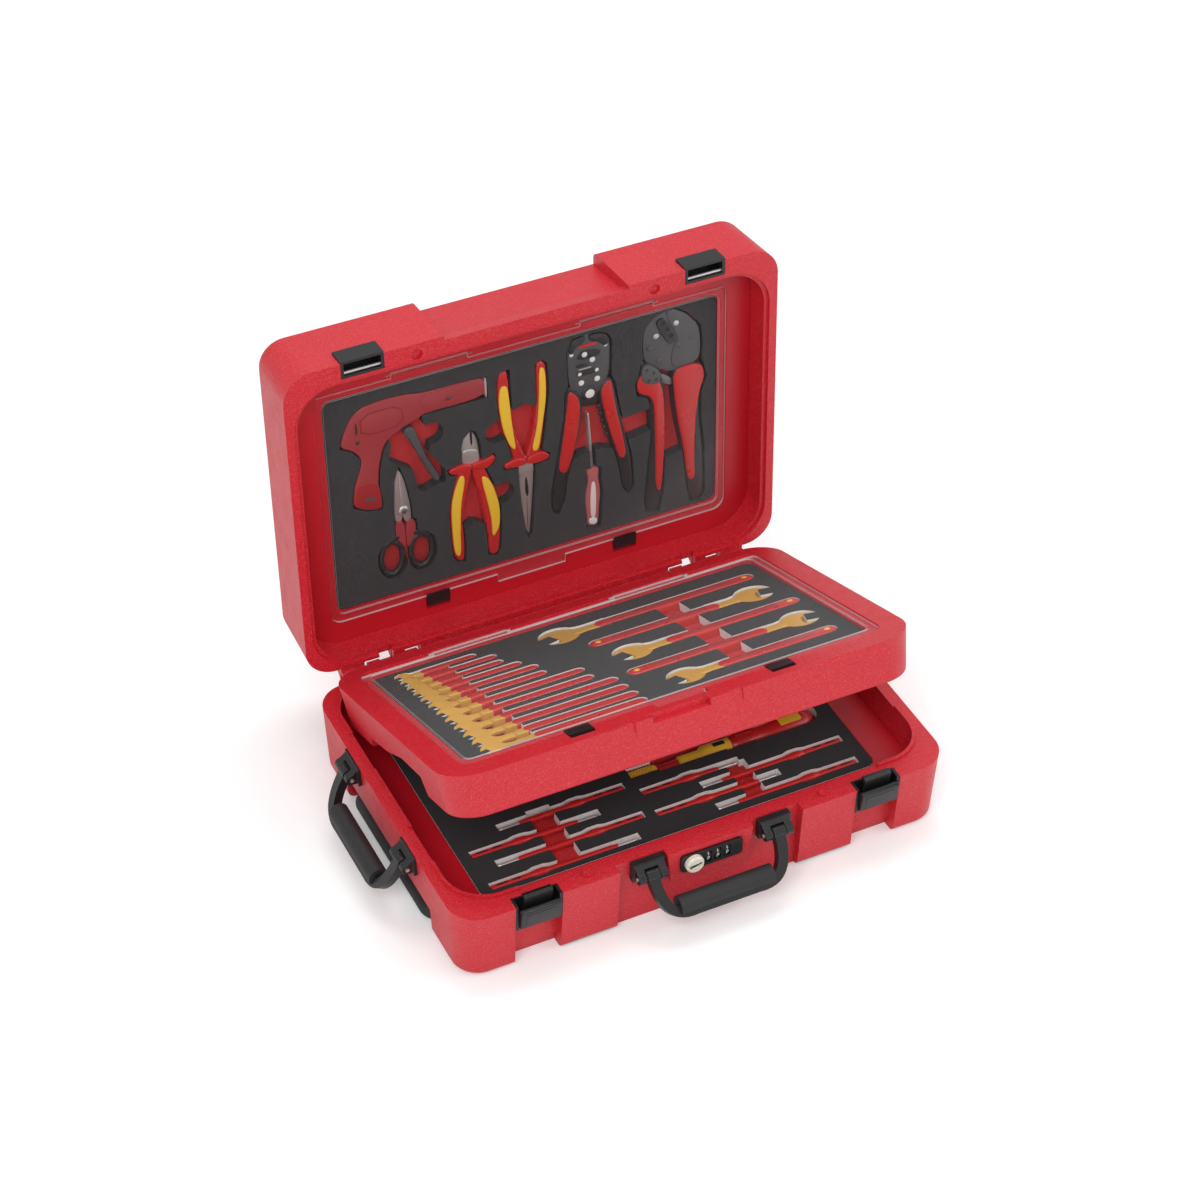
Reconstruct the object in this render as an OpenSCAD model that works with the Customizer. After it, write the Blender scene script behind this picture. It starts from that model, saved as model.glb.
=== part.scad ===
// Hard tool case on wheels, shown open: base, swing-up middle tray and lid.
// Millimetres. +X is the case's right, the front faces -Y, +Z is up.
// The origin is the middle of the base's underside.

/* [Case] */
// Width of the case over its rims
case_w = 522; // [480:1:560]
// Depth of the case, front to back
case_d = 354; // [340:1:380]
// Height of the base shell up to its rim
base_h = 79; // [76:1:90]
// Height of the lid shell
lid_h = 78; // [76:1:90]
// Corner radius of the shells seen from above
corner_r = 31; // [27:1:40]
// How far the walls lean in from the rim to the outer floor
shell_draft = 4; // [2:0.5:6]
// Radius of the outer floor's edges
shell_edge_r = 8; // [4:1:10]
// Wall and floor thickness of the shells
shell_wall = 3; // [2.5:0.5:4]

/* [Rim] */
// Rim width along the front, where latches and lock are housed
rim_front = 24; // [22:1:28]
// Rim width along the short sides
rim_side = 13; // [11:1:15]
// Rim width along the back
rim_rear = 8; // [7:0.5:10]
// Radius of the opening's corners
opening_r = 40; // [32:1:44]
// Height of the raised lip beside the opening
lip_h = 3; // [2:0.5:4]
// Width of the raised lip
lip_w = 3.5; // [3:0.5:4.5]
// Radius of the locating pegs on the rim
peg_r = 5; // [4:0.5:6]
// Gap between the two rims when the case is shut
rim_gap = 0.5; // [0.4:0.1:1]

/* [Hinge] */
// Opening angle of the lid as shown
lid_open = 93; // [80:1:96]
// Angle of the middle tray as shown
tray_open = 20.5; // [15:0.5:24]
// Distance of the hinge pin behind the back of the shells
hinge_back = 10; // [9:0.5:12]
// Radius of the hinge pins
hinge_pin_r = 3; // [2.5:0.5:3.5]
// Outer radius of the knuckles
knuckle_r = 7; // [6:0.5:8]
// Width of one knuckle along the pin
knuckle_w = 13; // [10:1:16]
// Distance of a hinge from the middle of the case
hinge_x = 170; // [140:1:180]

/* [Interior] */
// Depth of the base's ledge below the rim
base_ledge = 34.5; // [34:0.5:38]
// Depth of the lid's ledge inside its rim
lid_ledge = 31.5; // [30:0.5:34]
// Width of a foam insert
foam_w = 424; // [400:1:440]
// Depth of a foam insert, front to back
foam_d = 250; // [235:1:256]
// Corner radius of a foam insert
foam_r = 10; // [6:1:14]
// Thickness of the dark upper foam, which the tools are sunk into
foam_top_t = 12; // [11:0.5:13]
// Depth of the tool pockets in the base and tray
pocket_t = 9; // [8:0.5:10]
// Clearance round a tool in its cut-out
tool_gap = 1.3; // [1:0.1:2]
// Thickness of the liners
liner_wall = 2.5; // [2:0.5:3]

/* [Middle tray] */
// Gap between the tray and the opening round it
tray_gap = 2; // [1.5:0.5:3]
// Height of the tray's top above the hinge line when it lies flat
tray_up = 13; // [11:0.5:15]
// Overall height of the tray
tray_h = 46; // [42:0.5:46]
// Wall thickness of the tray
tray_wall = 3; // [2.5:0.5:4]
// Thickness of the clear covers
cover_t = 2.2; // [2:0.1:3]

/* [Latches and lock] */
// Distance of a latch from the middle of the case
latch_x = 180; // [172:1:184]
// Width of the recess for a latch
latch_w = 48; // [44:1:50]
// How far a latch leans out as shown
latch_tilt = 9; // [8:1:12]
// Distance from the middle to the blocks beside the handle recess
recess_x = 97; // [94:1:100]
// Depth of the handle recess
recess_deep = 11; // [9:1:12]
// Radius of the lock's turning knob
knob_r = 9.5; // [8:0.5:10]
// Radius of a number dial
dial_r = 8; // [7:0.5:8.5]

/* [Handles] */
// Distance between the pivots' middles of a carrying handle
bail_span = 134; // [126:1:140]
// Drop of a carrying handle from pivot to grip
bail_drop = 36; // [32:1:40]
// Radius of a handle's grip sleeve
grip_r = 10; // [8:0.5:11]
// How far the front handle is swung out as shown
front_swing = 38; // [25:1:60]
// How far the side handle is swung out as shown
side_swing = 28; // [20:1:60]
// Radius of a pull-handle tube
tube_r = 5; // [4:0.5:5]
// Distance of a pull-handle tube from the middle
tube_y = 88; // [80:1:92]

/* [Wheels] */
// Radius of a wheel
wheel_r = 18; // [16:0.5:18]
// Width of a wheel
wheel_w = 20; // [16:1:22]
// Distance of a wheel from the middle
wheel_y = 124; // [118:1:128]

/* [Hidden] */
$fn = 48;

eps = 0.01;
// Running clearance of a pin in its bore, on the radius
run = 0.05;
// Clearance between flat faces that slide past each other
slip = 0.4;

red = "#c8102e";
charcoal = "#3a3a3a";
black = "#1c1c1c";
steel = "#c9c9c9";
ochre = "#d9a441";
clear = [0.9, 0.95, 1, 0.35];

hinge_y = case_d / 2 + hinge_back;
hinge_z = base_h + rim_gap / 2;
open_x = case_w / 2 - rim_side;
open_front = -(case_d / 2 - rim_front);
open_rear = case_d / 2 - rim_rear;
open_mid = (open_front + open_rear) / 2;
open_d = open_rear - open_front;
ledge_z = base_h - base_ledge;
foam_x = foam_w / 2;

// ---------- helpers ----------

function bezier(p, t) = len(p) == 1 ? p[0]
    : bezier([for (i = [0:len(p) - 2]) p[i] * (1 - t) + p[i + 1] * t], t);
function curve(p, n) = [for (i = [0:n]) bezier(p, i / n)];
function normal(c, i) = let (a = c[max(i - 1, 0)], b = c[min(i + 1, len(c) - 1)],
    d = (b - a) / norm(b - a)) [-d[1], d[0]];
function arc(c, r, a0, a1, n) = [for (i = [0:n]) c + r * [cos(a0 + (a1 - a0) * i / n),
    sin(a0 + (a1 - a0) * i / n)]];
function bearing(v) = atan2(v[1], v[0]);
function ribbon(p, w0, w1, n) = let (c = curve(p, n), a = bearing(normal(c, 0)), b = bearing(normal(c, n)))
    concat([for (i = [1:n - 1]) c[i] + normal(c, i) * (w0 + (w1 - w0) * i / n) / 2],
    arc(c[n], w1 / 2, b, b - 180, 8),
    [for (i = [n - 1:-1:1]) c[i] - normal(c, i) * (w0 + (w1 - w0) * i / n) / 2],
    arc(c[0], w0 / 2, a + 180, a, 8));

// A tapering limb along a curve, with round ends
module limb(p, w0, w1, n = 10) {
    polygon(ribbon(p, w0, w1, n));
}

module round_rect(w, d, r) {
    square([w - 2 * r, d], center = true);
    square([w, d - 2 * r], center = true);
    for (x = [-1, 1], y = [-1, 1])
        translate([x * (w / 2 - r), y * (d / 2 - r)]) circle(r);
}

// A block with leaning walls and a rounded lower edge.
// Its top is at z = 0, where it measures w by d.
module drafted_block(w, d, h, r, draft, edge) {
    deep = r - 8;
    lean = draft * (h - edge) / h;
    cx = w / 2 - r;
    cy = d / 2 - r;
    profile = concat([[-deep, 0], [0, 0]],
        arc([-lean - edge, edge - h], edge, 0, -90, 6), [[-deep, -h]]);
    for (s = [0, 180]) rotate([0, 0, s]) {
        translate([-cx, d / 2, 0]) rotate([90, 0, 90]) linear_extrude(2 * cx) polygon(profile);
        translate([w / 2, cy, 0]) rotate([90, 0, 0]) linear_extrude(2 * cy) polygon(profile);
        for (m = [0, 1]) mirror([0, m, 0])
            translate([cx, cy, 0]) rotate_extrude(angle = 90) translate([r, 0]) polygon(profile);
    }
    translate([0, 0, -h]) linear_extrude(h) {
        square([2 * cx + 2, d - 2 * deep + 8], center = true);
        square([w - 2 * deep + 8, 2 * cy - 2], center = true);
        for (x = [-1, 1], y = [-1, 1]) translate([x * cx, y * cy]) circle(r - deep + 2);
    }
}

// The opening through the rim, drawn from z = 0 downwards
module opening(h) {
    translate([0, open_mid, -h]) linear_extrude(h + eps)
        round_rect(2 * open_x, open_d, opening_r);
}

// A bar between two X positions
module bar_x(x0, x1, r) {
    translate([x0, 0, 0]) rotate([0, 90, 0]) cylinder(r = r, h = x1 - x0);
}

// Places its children in the frame of a leaf that swings on the main hinge
module leaf(angle) {
    translate([0, hinge_y, hinge_z]) rotate([-angle, 0, 0]) children();
}

// ---------- shells ----------

// Where the four knuckles of one hinge start along X, from the hinge's middle
knuckle_pitch = knuckle_w + slip;
knuckle_x0 = -2 * knuckle_pitch + slip / 2;

// The knuckle with its root on a wall below or above the pin
module knuckle(n, reach, root) {
    translate([knuckle_x0 + n * knuckle_pitch, 0, 0]) rotate([90, 0, 90]) linear_extrude(knuckle_w) {
        circle(knuckle_r);
        polygon([[knuckle_r, 0], [-hinge_back - reach, 0], [-hinge_back - reach, root],
            [-hinge_back + 1, root]]);
    }
}

module lip_plan() {
    difference() {
        translate([0, open_mid]) round_rect(2 * (open_x + lip_w), open_d + 2 * lip_w, opening_r + lip_w);
        translate([0, open_mid]) round_rect(2 * open_x, open_d, opening_r);
    }
}

lip_front_y = open_front + opening_r + 24;
lip_rear_y = open_rear - opening_r - 24;

// The latch recess, the lock's room and the handle seats in the front wall
latch_deep = 14;
front_y = -case_d / 2;
recess_y = front_y + recess_deep;
pad_x0 = -43;
pad_x1 = 38;
lock_z = 62;
lock_x = -1;
plate_w = 66;
plate_h = 21;
plate_t = 3;
dial_pitch = 10;
dial_x = 5;
dial_w = 6;
knob_x = -21;
dial_y = front_y + dial_r - 2;

// Wells, pockets and the pull handle's room in the base
well_w = wheel_w + 4;
wheel_x = case_w / 2 - 14;
wheel_z = wheel_r + 0.5;
well_x0 = wheel_x - wheel_r - 3;
well_top = wheel_z + wheel_r + 2.5;
grip_bar_r = 8;
grip_turn = 12;
grip_x = -case_w / 2 + 10;
grip_z = 9.6;
room_x = grip_x + grip_turn + 14;
room_y = tube_y + grip_bar_r + 6;
room_top = 32;

module base_shell() color(red) difference() {
    union() {
        difference() {
            translate([0, 0, base_h]) drafted_block(case_w, case_d, base_h, corner_r,
                shell_draft, shell_edge_r);
            translate([0, 0, base_h]) opening(base_h - shell_wall);
            // handle recess
            translate([-recess_x, front_y - 10, -1]) cube([2 * recess_x, recess_deep + 10, base_h + 2]);
            // hollow blocks, open underneath
            for (s = [-1, 1]) {
                block_x0 = recess_x + shell_wall;
                block_x1 = latch_x - latch_w / 2 - shell_wall;
                translate([s > 0 ? block_x0 : -block_x1, front_y + 2 * shell_wall, -1])
                    cube([block_x1 - block_x0, rim_front - 3 * shell_wall, base_h - 2 * shell_wall]);
            }
        }
        // proud pad that carries the lock
        translate([0, recess_y + 1, 0]) rotate([90, 0, 0]) linear_extrude(recess_deep)
            polygon([[pad_x0 - 4, base_h], [pad_x1 + 6, base_h], [pad_x1, 42], [pad_x0, 42]]);
        // room walls round the pull handle
        translate([-case_w / 2 + 8, -room_y - shell_wall, 1])
            cube([room_x + shell_wall + case_w / 2 - 8, 2 * (room_y + shell_wall), room_top + shell_wall - 1]);
        // wheel wells
        for (s = [-1, 1])
            translate([well_x0 - shell_wall, s * wheel_y - well_w / 2 - shell_wall, 1])
                cube([case_w / 2 - 8 - well_x0, well_w + 2 * shell_wall, well_top + shell_wall - 2]);
        // lip beside the opening, in the corners and along the left side
        translate([0, 0, base_h - 1]) linear_extrude(lip_h + 1) intersection() {
            lip_plan();
            union() {
                for (s = [-1, 1]) {
                    translate([s * case_w / 2, open_front]) square([140, 2 * (opening_r + 24)], center = true);
                    translate([s * case_w / 2, open_rear]) square([90, 2 * (opening_r + 24)], center = true);
                }
                translate([-case_w / 2, 5]) square([40, 88], center = true);
            }
        }
        // pegs that meet the lid's dimples
        for (s = [-1, 1]) translate([s * 125, front_y + rim_front / 2, base_h - 1])
            cylinder(r = peg_r, h = 3);
        // hinge ears
        for (s = [-1, 1], n = [0, 3]) translate([s * hinge_x, hinge_y, hinge_z]) knuckle(n, 4, -24);
    }
    for (s = [-1, 1]) {
        // latch recess with a bevelled foot
        translate([s * latch_x - latch_w / 2, front_y - 10, 16]) cube([latch_w, latch_deep + 10, base_h]);
        translate([s * latch_x - latch_w / 2, 0, 0]) rotate([90, 0, 90]) linear_extrude(latch_w)
            polygon([[front_y - 10, -1], [front_y + latch_deep + 6, -1], [front_y + latch_deep, 17],
                [front_y - 10, 17]]);
        translate([s * hinge_x - 60, hinge_y, hinge_z]) bar_x(0, 120, hinge_pin_r + run);
        // way for the tray's knuckle through the back rim
        translate([s * hinge_x + knuckle_x0 + knuckle_pitch - 1, open_rear - 2, hinge_z - 6])
            cube([knuckle_w + 2, hinge_back + rim_rear + 12, 20]);
        translate([s * hinge_x + knuckle_x0 + knuckle_pitch - slip, hinge_y, hinge_z])
            bar_x(0, 2 * knuckle_pitch + slip, knuckle_r + slip);
        // wheel well and axle holes
        translate([well_x0, s * wheel_y - well_w / 2, -1]) cube([case_w, well_w, well_top + 1]);
        translate([wheel_x, s * wheel_y + well_w / 2 + 4, wheel_z]) rotate([90, 0, 0])
            cylinder(r = 3 + run, h = well_w + 8);
    }
    // room of the pull handle, open to the left and below
    translate([-case_w / 2 - 10, -room_y, -1]) cube([room_x + case_w / 2 + 10, 2 * room_y, room_top + 1]);
    for (s = [-1, 1]) translate([0, s * tube_y, grip_z]) bar_x(-case_w / 2, room_x + 10, tube_r + 0.5);
    // lock's room: plate seat, knob spindle and dials
    translate([lock_x - plate_w / 2, front_y - 6, lock_z - plate_h / 2])
        cube([plate_w, plate_t + 6 - 1.5, plate_h]);
    translate([dial_x - 1.5 * dial_pitch, front_y - 1, lock_z - plate_h / 2 + 1])
        cube([3 * dial_pitch, 2 * dial_r + 3, plate_h - 2]);
    translate([knob_x, front_y - 1, lock_z]) rotate([-90, 0, 0]) cylinder(r = 4, h = rim_front + 4);
    translate([bolt_x - 4.5, open_front - 7, lock_z - 4.3]) cube([17, 8, 8.6]);
    translate([knob_x - 1, open_front - 7, lock_z - 4]) cube([bolt_x - knob_x, 5, 8]);
}
bolt_x = 8;

module lid_shell() color(red) leaf(lid_open) difference() {
    lid_z = rim_gap / 2;
    union() {
        difference() {
            translate([0, -hinge_y, lid_z]) mirror([0, 0, 1])
                drafted_block(case_w, case_d, lid_h, corner_r, shell_draft, shell_edge_r);
            translate([0, -hinge_y, lid_z]) mirror([0, 0, 1]) opening(lid_h - shell_wall);
            // wedge recess over the handle
            translate([-recess_x, front_y - hinge_y, lid_z]) rotate([90, 0, 90]) linear_extrude(2 * recess_x)
                polygon([[-10, -1], [4, -1], [6, 8], [recess_deep, 20], [recess_deep + 7, lid_h + 1],
                    [-10, lid_h + 1]]);
        }
        for (s = [-1, 1]) translate([s * hinge_x, 0, 0]) knuckle(2, 4, 22);
        // ribs of the hinge line between and beside the knuckles
        for (x = spines) translate([x[0], 0, 0]) rotate([90, 0, 90]) linear_extrude(x[1] - x[0]) {
            circle(knuckle_r);
            polygon([[knuckle_r, 0], [-hinge_back - 4, 0], [-hinge_back - 4, 22], [-hinge_back + 1, 22]]);
        }
    }
    // groove for the base's lip
    translate([0, -hinge_y, lid_z - eps]) linear_extrude(lip_h + 0.5) difference() {
        translate([0, open_mid])
            round_rect(2 * (open_x + lip_w + 1), open_d + 2 * lip_w + 2, opening_r + lip_w + 1);
        translate([0, open_mid]) round_rect(2 * open_x - 1, open_d - 1, opening_r - 0.5);
    }
    for (s = [-1, 1]) {
        translate([s * 125, front_y + rim_front / 2 - hinge_y, lid_z - 1]) cylinder(r = peg_r + 0.6, h = 4);
        // seat of the latch hood
        translate([s * latch_x - hood_w / 2, front_y - hinge_y - 10, lid_z - 1])
            cube([hood_w, hood_d + 10, hood_h + 1]);
        translate([s * hinge_x - 60, 0, 0]) bar_x(0, 120, hinge_pin_r + run);
        translate([s * hinge_x + knuckle_x0 + knuckle_pitch - 1, open_rear - 2 - hinge_y, -2])
            cube([knuckle_w + 2, hinge_back + rim_rear + 12, 8.5]);
        for (n = [0, 1, 3])
            translate([s * hinge_x + knuckle_x0 + n * knuckle_pitch - slip, 0, 0])
                bar_x(0, knuckle_w + 2 * slip, knuckle_r + 2 * slip);
    }
}
hood_w = latch_w - 4;
spines = [[-226, -hinge_x + knuckle_x0 - 4], [-hinge_x - knuckle_x0 + 4, hinge_x + knuckle_x0 - 4],
    [hinge_x - knuckle_x0 + 4, 226]];
hood_d = 17;
hood_h = 21;

module hinge_pins() color(steel) for (s = [-1, 1]) translate([s * hinge_x, hinge_y, hinge_z]) {
    bar_x(knuckle_x0 - 0.5, -knuckle_x0 + 0.5, hinge_pin_r);
    bar_x(knuckle_x0 - 3, knuckle_x0 - 0.5, hinge_pin_r + 1.5);
    bar_x(-knuckle_x0 + 0.5, -knuckle_x0 + 3, hinge_pin_r + 1.5);
}

// ---------- liners and foam ----------

base_foam_y = open_mid - 4;
foam_floor_z = 19;

module base_liner() color("#a81226") difference() {
    translate([0, open_mid, shell_wall + 0.1]) linear_extrude(ledge_z - shell_wall - 0.1)
        round_rect(2 * open_x - 0.6, open_d - 0.6, opening_r - 0.3);
    // hollow underneath, between the skirt and the foam's well
    translate([0, 0, shell_wall]) linear_extrude(ledge_z - shell_wall - liner_wall) difference() {
        translate([0, open_mid]) round_rect(2 * open_x - 0.6 - 2 * liner_wall,
            open_d - 0.6 - 2 * liner_wall, opening_r - 0.3 - liner_wall);
        translate([0, base_foam_y]) round_rect(foam_w + 1 + 2 * liner_wall, foam_d + 1 + 2 * liner_wall,
            foam_r + liner_wall);
    }
    translate([0, base_foam_y, 0]) {
        translate([0, 0, foam_floor_z]) linear_extrude(ledge_z)
            round_rect(foam_w + 1, foam_d + 1, foam_r + 0.5);
        translate([0, 0, -1]) linear_extrude(foam_floor_z - liner_wall + 1)
            round_rect(foam_w + 8, foam_d + 8, foam_r + 4);
    }
    // room left for the pull handle and the wheels
    translate([-case_w / 2, -room_y - shell_wall - 0.5, -1])
        cube([room_x + shell_wall + 0.5 + case_w / 2, 2 * room_y + 2 * shell_wall + 1,
            room_top + shell_wall + 1.5]);
    for (s = [-1, 1])
        translate([well_x0 - shell_wall - 0.5, s * wheel_y - well_w / 2 - shell_wall - 0.5, -1])
            cube([case_w, well_w + 2 * shell_wall + 1, well_top + shell_wall + 0.5]);
}

module foam_plan() {
    round_rect(foam_w, foam_d, foam_r);
}

module base_foam_red() color(red)
    difference() {
        translate([0, base_foam_y, foam_floor_z + eps]) 
            linear_extrude(ledge_z - pocket_t - foam_floor_z - 2 * eps) foam_plan();
        translate([0, 0, ledge_z - torque_sink - 13.3]) linear_extrude(ledge_z)
            offset(delta = tool_gap) torque_plan();
    }

module base_foam() color(charcoal) difference() {
    translate([0, base_foam_y, ledge_z - pocket_t]) linear_extrude(pocket_t) foam_plan();
    translate([0, 0, ledge_z - pocket_t - 1]) linear_extrude(pocket_t + 2) {
        offset(delta = tool_gap) torque_plan();
        offset(delta = tool_gap) blades_plan();
        troughs();
    }
}

// ---------- tools of the base ----------

// Depth of the handle's axis below the foam's face
torque_sink = 11.6;
torque_y = -26;
torque_x0 = -13;
torque_l = 208;

module torque_plan() translate([torque_x0, torque_y]) {
    translate([104, -13]) square([torque_l - 117, 26]);
    translate([torque_l - 13, 0]) circle(13);
    translate([30, -11]) square([76, 22]);
    translate([0, -8]) square([32, 16]);
}

module torque_handle() color(red) translate([torque_x0, torque_y, ledge_z - torque_sink]) {
    rotate([0, 90, 0]) rotate_extrude() polygon(concat(
        [[0, 0], [6, 0], [7, 2], [7, 30], [5, 32], [5, 55], [7, 57], [7, 80], [9.5, 84], [9.5, 112],
            [11, 117], [12.5, 128]],
        curve([[12.5, 134], [10.8, 144], [10.8, 156], [13, 166]], 6),
        curve([[13, 190], [13, torque_l - 8], [8, torque_l], [0, torque_l]], 6)));
    for (i = [0:6]) translate([3 + i * 4, 0, 0]) rotate([0, 90, 0]) difference() {
        cylinder(r = 7.8, h = 1.4);
        translate([0, 0, -1]) cylinder(r = 6.3, h = 4);
    }
}

// Each blade: x of its handle end, row y, length, and the way it points
blades = [[-27, -41.5, 133, -1], [-198.5, -64, 134, 1], [-27, -85, 154, -1], [-199, -110, 155, 1],
    [-13, -57, 105, 1], [198, -73.5, 154, -1], [-13, -89.5, 133, 1], [197, -107, 153, -1]];
collar_x = 51;
collar_r = 4.4;
blade_r = 3.2;
module blade_at(b) {
    translate([b[0], b[1], 0]) mirror([b[3] > 0 ? 0 : 1, 0, 0]) children();
}
module blades_plan() {
    for (b = blades) blade_at(b)
        polygon([for (m = [1, -1]) for (p = m > 0 ? blade_side(b[2]) : reversed(blade_side(b[2])))
            [p[0], m * p[1]]]);
}
function blade_side(l) = [[0, blade_r], [collar_x - 12, blade_r + 0.3], [collar_x - 5, collar_r + 1],
    [collar_x + 5, collar_r + 1], [collar_x + 12, blade_r + 0.3], [l, blade_r]];
function reversed(list) = [for (i = [len(list) - 1:-1:0]) list[i]];
module troughs() {
    translate([-128, -107]) square([25, 74]);
    translate([77, -106]) square([21, 48]);
}

module blade(l) {
    bar_x(0, collar_x - 4, blade_r);
    translate([collar_x - 5, 0, 0]) rotate([0, 90, 0]) cylinder(r = collar_r, h = 10, $fn = 6);
    translate([collar_x + 4, 0, 0]) bar_x(0, l - collar_x - 24, 2.6);
    translate([l - 21, 0, 0]) bar_x(0, 21, 1.6);
}
module driver_blades() color(red) for (b = blades)
    translate([0, 0, ledge_z - pocket_t + collar_r + eps]) blade_at(b) blade(b[2]);

// ---------- middle tray ----------

tray_w = 2 * (open_x - tray_gap);
tray_s0 = hinge_y - open_rear + tray_gap;
tray_s1 = hinge_y - open_front - tray_gap;
tray_d = tray_s1 - tray_s0;
tray_mid = (tray_s0 + tray_s1) / 2;
tray_low = tray_up - tray_h;
cover_w = foam_w + 18;
cover_s0 = 37;
cover_s1 = 311;
tray_foam_s = (cover_s0 + cover_s1) / 2 - 3;
tray_foam_up = tray_up - 6;

module tray_shell() color(red) leaf(tray_open) difference() {
    union() {
        translate([0, -tray_mid, tray_up])
            drafted_block(tray_w, tray_d, tray_h, opening_r - tray_gap, 5, 4);
        for (s = [-1, 1]) translate([s * hinge_x + knuckle_x0 + knuckle_pitch, 0, 0])
            rotate([90, 0, 90]) linear_extrude(knuckle_w) {
                circle(5.5);
                translate([-tray_s0 - 8, -4.5]) square([tray_s0 + 8, 10]);
            }
    }
    // foam well
    translate([0, -tray_foam_s, tray_low + tray_wall]) linear_extrude(tray_h)
        round_rect(foam_w + 1, foam_d + 1, foam_r + 0.5);
    translate([0, 0, tray_cover_up]) cover_seat(tray_tab_w);
    // hollow underneath, round the well
    translate([0, 0, tray_low - 1]) linear_extrude(tray_h - 8) difference() {
        translate([0, -tray_mid]) round_rect(tray_w - 24, tray_d - 22, opening_r - 12);
        translate([0, -tray_foam_s])
            round_rect(foam_w + 1 + 2 * tray_wall, foam_d + 1 + 2 * tray_wall, foam_r + 3);
    }
    // raised lower edge on the left, over the side handle's fixings
    translate([-tray_w / 2 - 10, 0, 0]) rotate([90, 0, 90]) linear_extrude(34)
        polygon([for (p = [[106, -40], [116, -21], [160, -19], [205, -10], [252, -12], [262, -40]])
            [-p[0], p[1]]]);
    // finger notch at the front edge and the two upright grooves beside it
    translate([-40, -tray_s1 - 1, tray_up - 7]) cube([60, 9, 10]);
    translate([-66, -tray_s1 - 1, tray_low - 1]) cube([8, 3, tray_h + 2]);
    translate([42, -tray_s1 - 1, tray_low - 1]) cube([12, 3, tray_h + 2]);
    for (s = [-1, 1]) translate([s * hinge_x - 60, 0, 0]) bar_x(0, 120, hinge_pin_r + run);
}

module tray_foam_red() color(red) leaf(tray_open)
    translate([0, -tray_foam_s, tray_low + tray_wall + eps])
        linear_extrude(tray_foam_up - pocket_t - tray_low - tray_wall - 2 * eps) foam_plan();

module tray_foam() color(charcoal) leaf(tray_open) difference() {
    translate([0, -tray_foam_s, tray_foam_up - pocket_t]) linear_extrude(pocket_t) foam_plan();
    translate([0, 0, tray_foam_up - pocket_t - 1]) linear_extrude(pocket_t + 2) {
        for (i = [0:11]) offset(delta = tool_gap) small_spanner_plan(i);
        for (i = [0:4]) offset(delta = tool_gap) large_spanner_plan(i);
        translate([-182, -283]) square([46, 221]);
        translate([83, -262]) square([26, 182]);
    }
}

// One open-ended spanner along +X: jaw and neck at the left, then the insulated handle
module jaw_plan(r, gap, neck) {
    difference() {
        circle(r);
        rotate(15) translate([-2 * r - r * 0.25, -gap / 2]) square([2 * r, gap]);
    }
    polygon([for (p = [[r * 0.4, 0.62], [r * 1.3, 0.4], [neck + 4, 0.44], [neck + 4, -0.44], [r * 1.3, -0.4],
        [r * 0.4, -0.62]]) [p[0], p[1] * r]]);
}
module grip_plan(r, neck, length, handle_w) {
    limb([[neck, 0], [neck + 4, 0], [length - r - handle_w / 2, 0]], handle_w, handle_w, 6);
}
small_s = [62, 79, 96.5, 114, 133, 153, 174, 196, 218.5, 241, 262.5, 282];
small_end = [-105, -90, -90, -78, -68, -68, -37, -37, -21.5, -21.5, -21, -21];
small_x = -190;
function small_r(i) = 8 + i * 0.15;
function small_len(i) = small_end[i] - small_x;
function small_neck(i) = 20 + i * 2.5;
function small_grip(i) = 8.4 + i * 0.36;
module small_at(i) {
    translate([small_x + small_r(i), -small_s[i]]) children();
}
module small_spanner_plan(i) small_at(i) {
    jaw_plan(small_r(i), small_r(i) * 1.05, small_neck(i));
    grip_plan(small_r(i), small_neck(i), small_len(i), small_grip(i));
}
// Each large spanner: x of its head, distance from the hinge line, x of its far end, head radius
large = [[-21, 80, 197, 20], [175, 125, -7, 19.5], [18, 170, 202, 19], [179, 216, -8, 18.5], [32, 260, 195, 18]];
large_grip = 15;
module large_at(b) {
    translate([b[0], -b[1]]) mirror([b[2] < b[0] ? 1 : 0, 0, 0]) children();
}
function large_len(b) = abs(b[2] - b[0]) + b[3];
module large_spanner_plan(i) large_at(large[i]) {
    jaw_plan(large[i][3], 19, large[i][3] * 2.4);
    grip_plan(large[i][3], large[i][3] * 2.4, large_len(large[i]), large_grip);
}
module small_spanners() color(ochre) leaf(tray_open)
    translate([0, 0, tray_foam_up - pocket_t + eps]) for (i = [0:11]) small_at(i) {
        linear_extrude(6) jaw_plan(small_r(i), small_r(i) * 1.05, small_neck(i));
        linear_extrude(8.8) grip_plan(small_r(i), small_neck(i), small_len(i), small_grip(i));
    }
module large_spanners() color(red) leaf(tray_open)
    translate([0, 0, tray_foam_up - pocket_t + eps]) for (b = large) large_at(b) {
        linear_extrude(7) jaw_plan(b[3], 19, b[3] * 2.4);
        linear_extrude(9.8) grip_plan(b[3], b[3] * 2.4, large_len(b), large_grip);
    }

// ---------- clear covers and clips ----------

barrel_r = 2.2;
cover_pin_r = 1.5;
clip_w = 25;
clip_x = 105;
clip_travel = 4;
tray_tab_w = 52;
lid_tab_w = 76;

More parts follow.
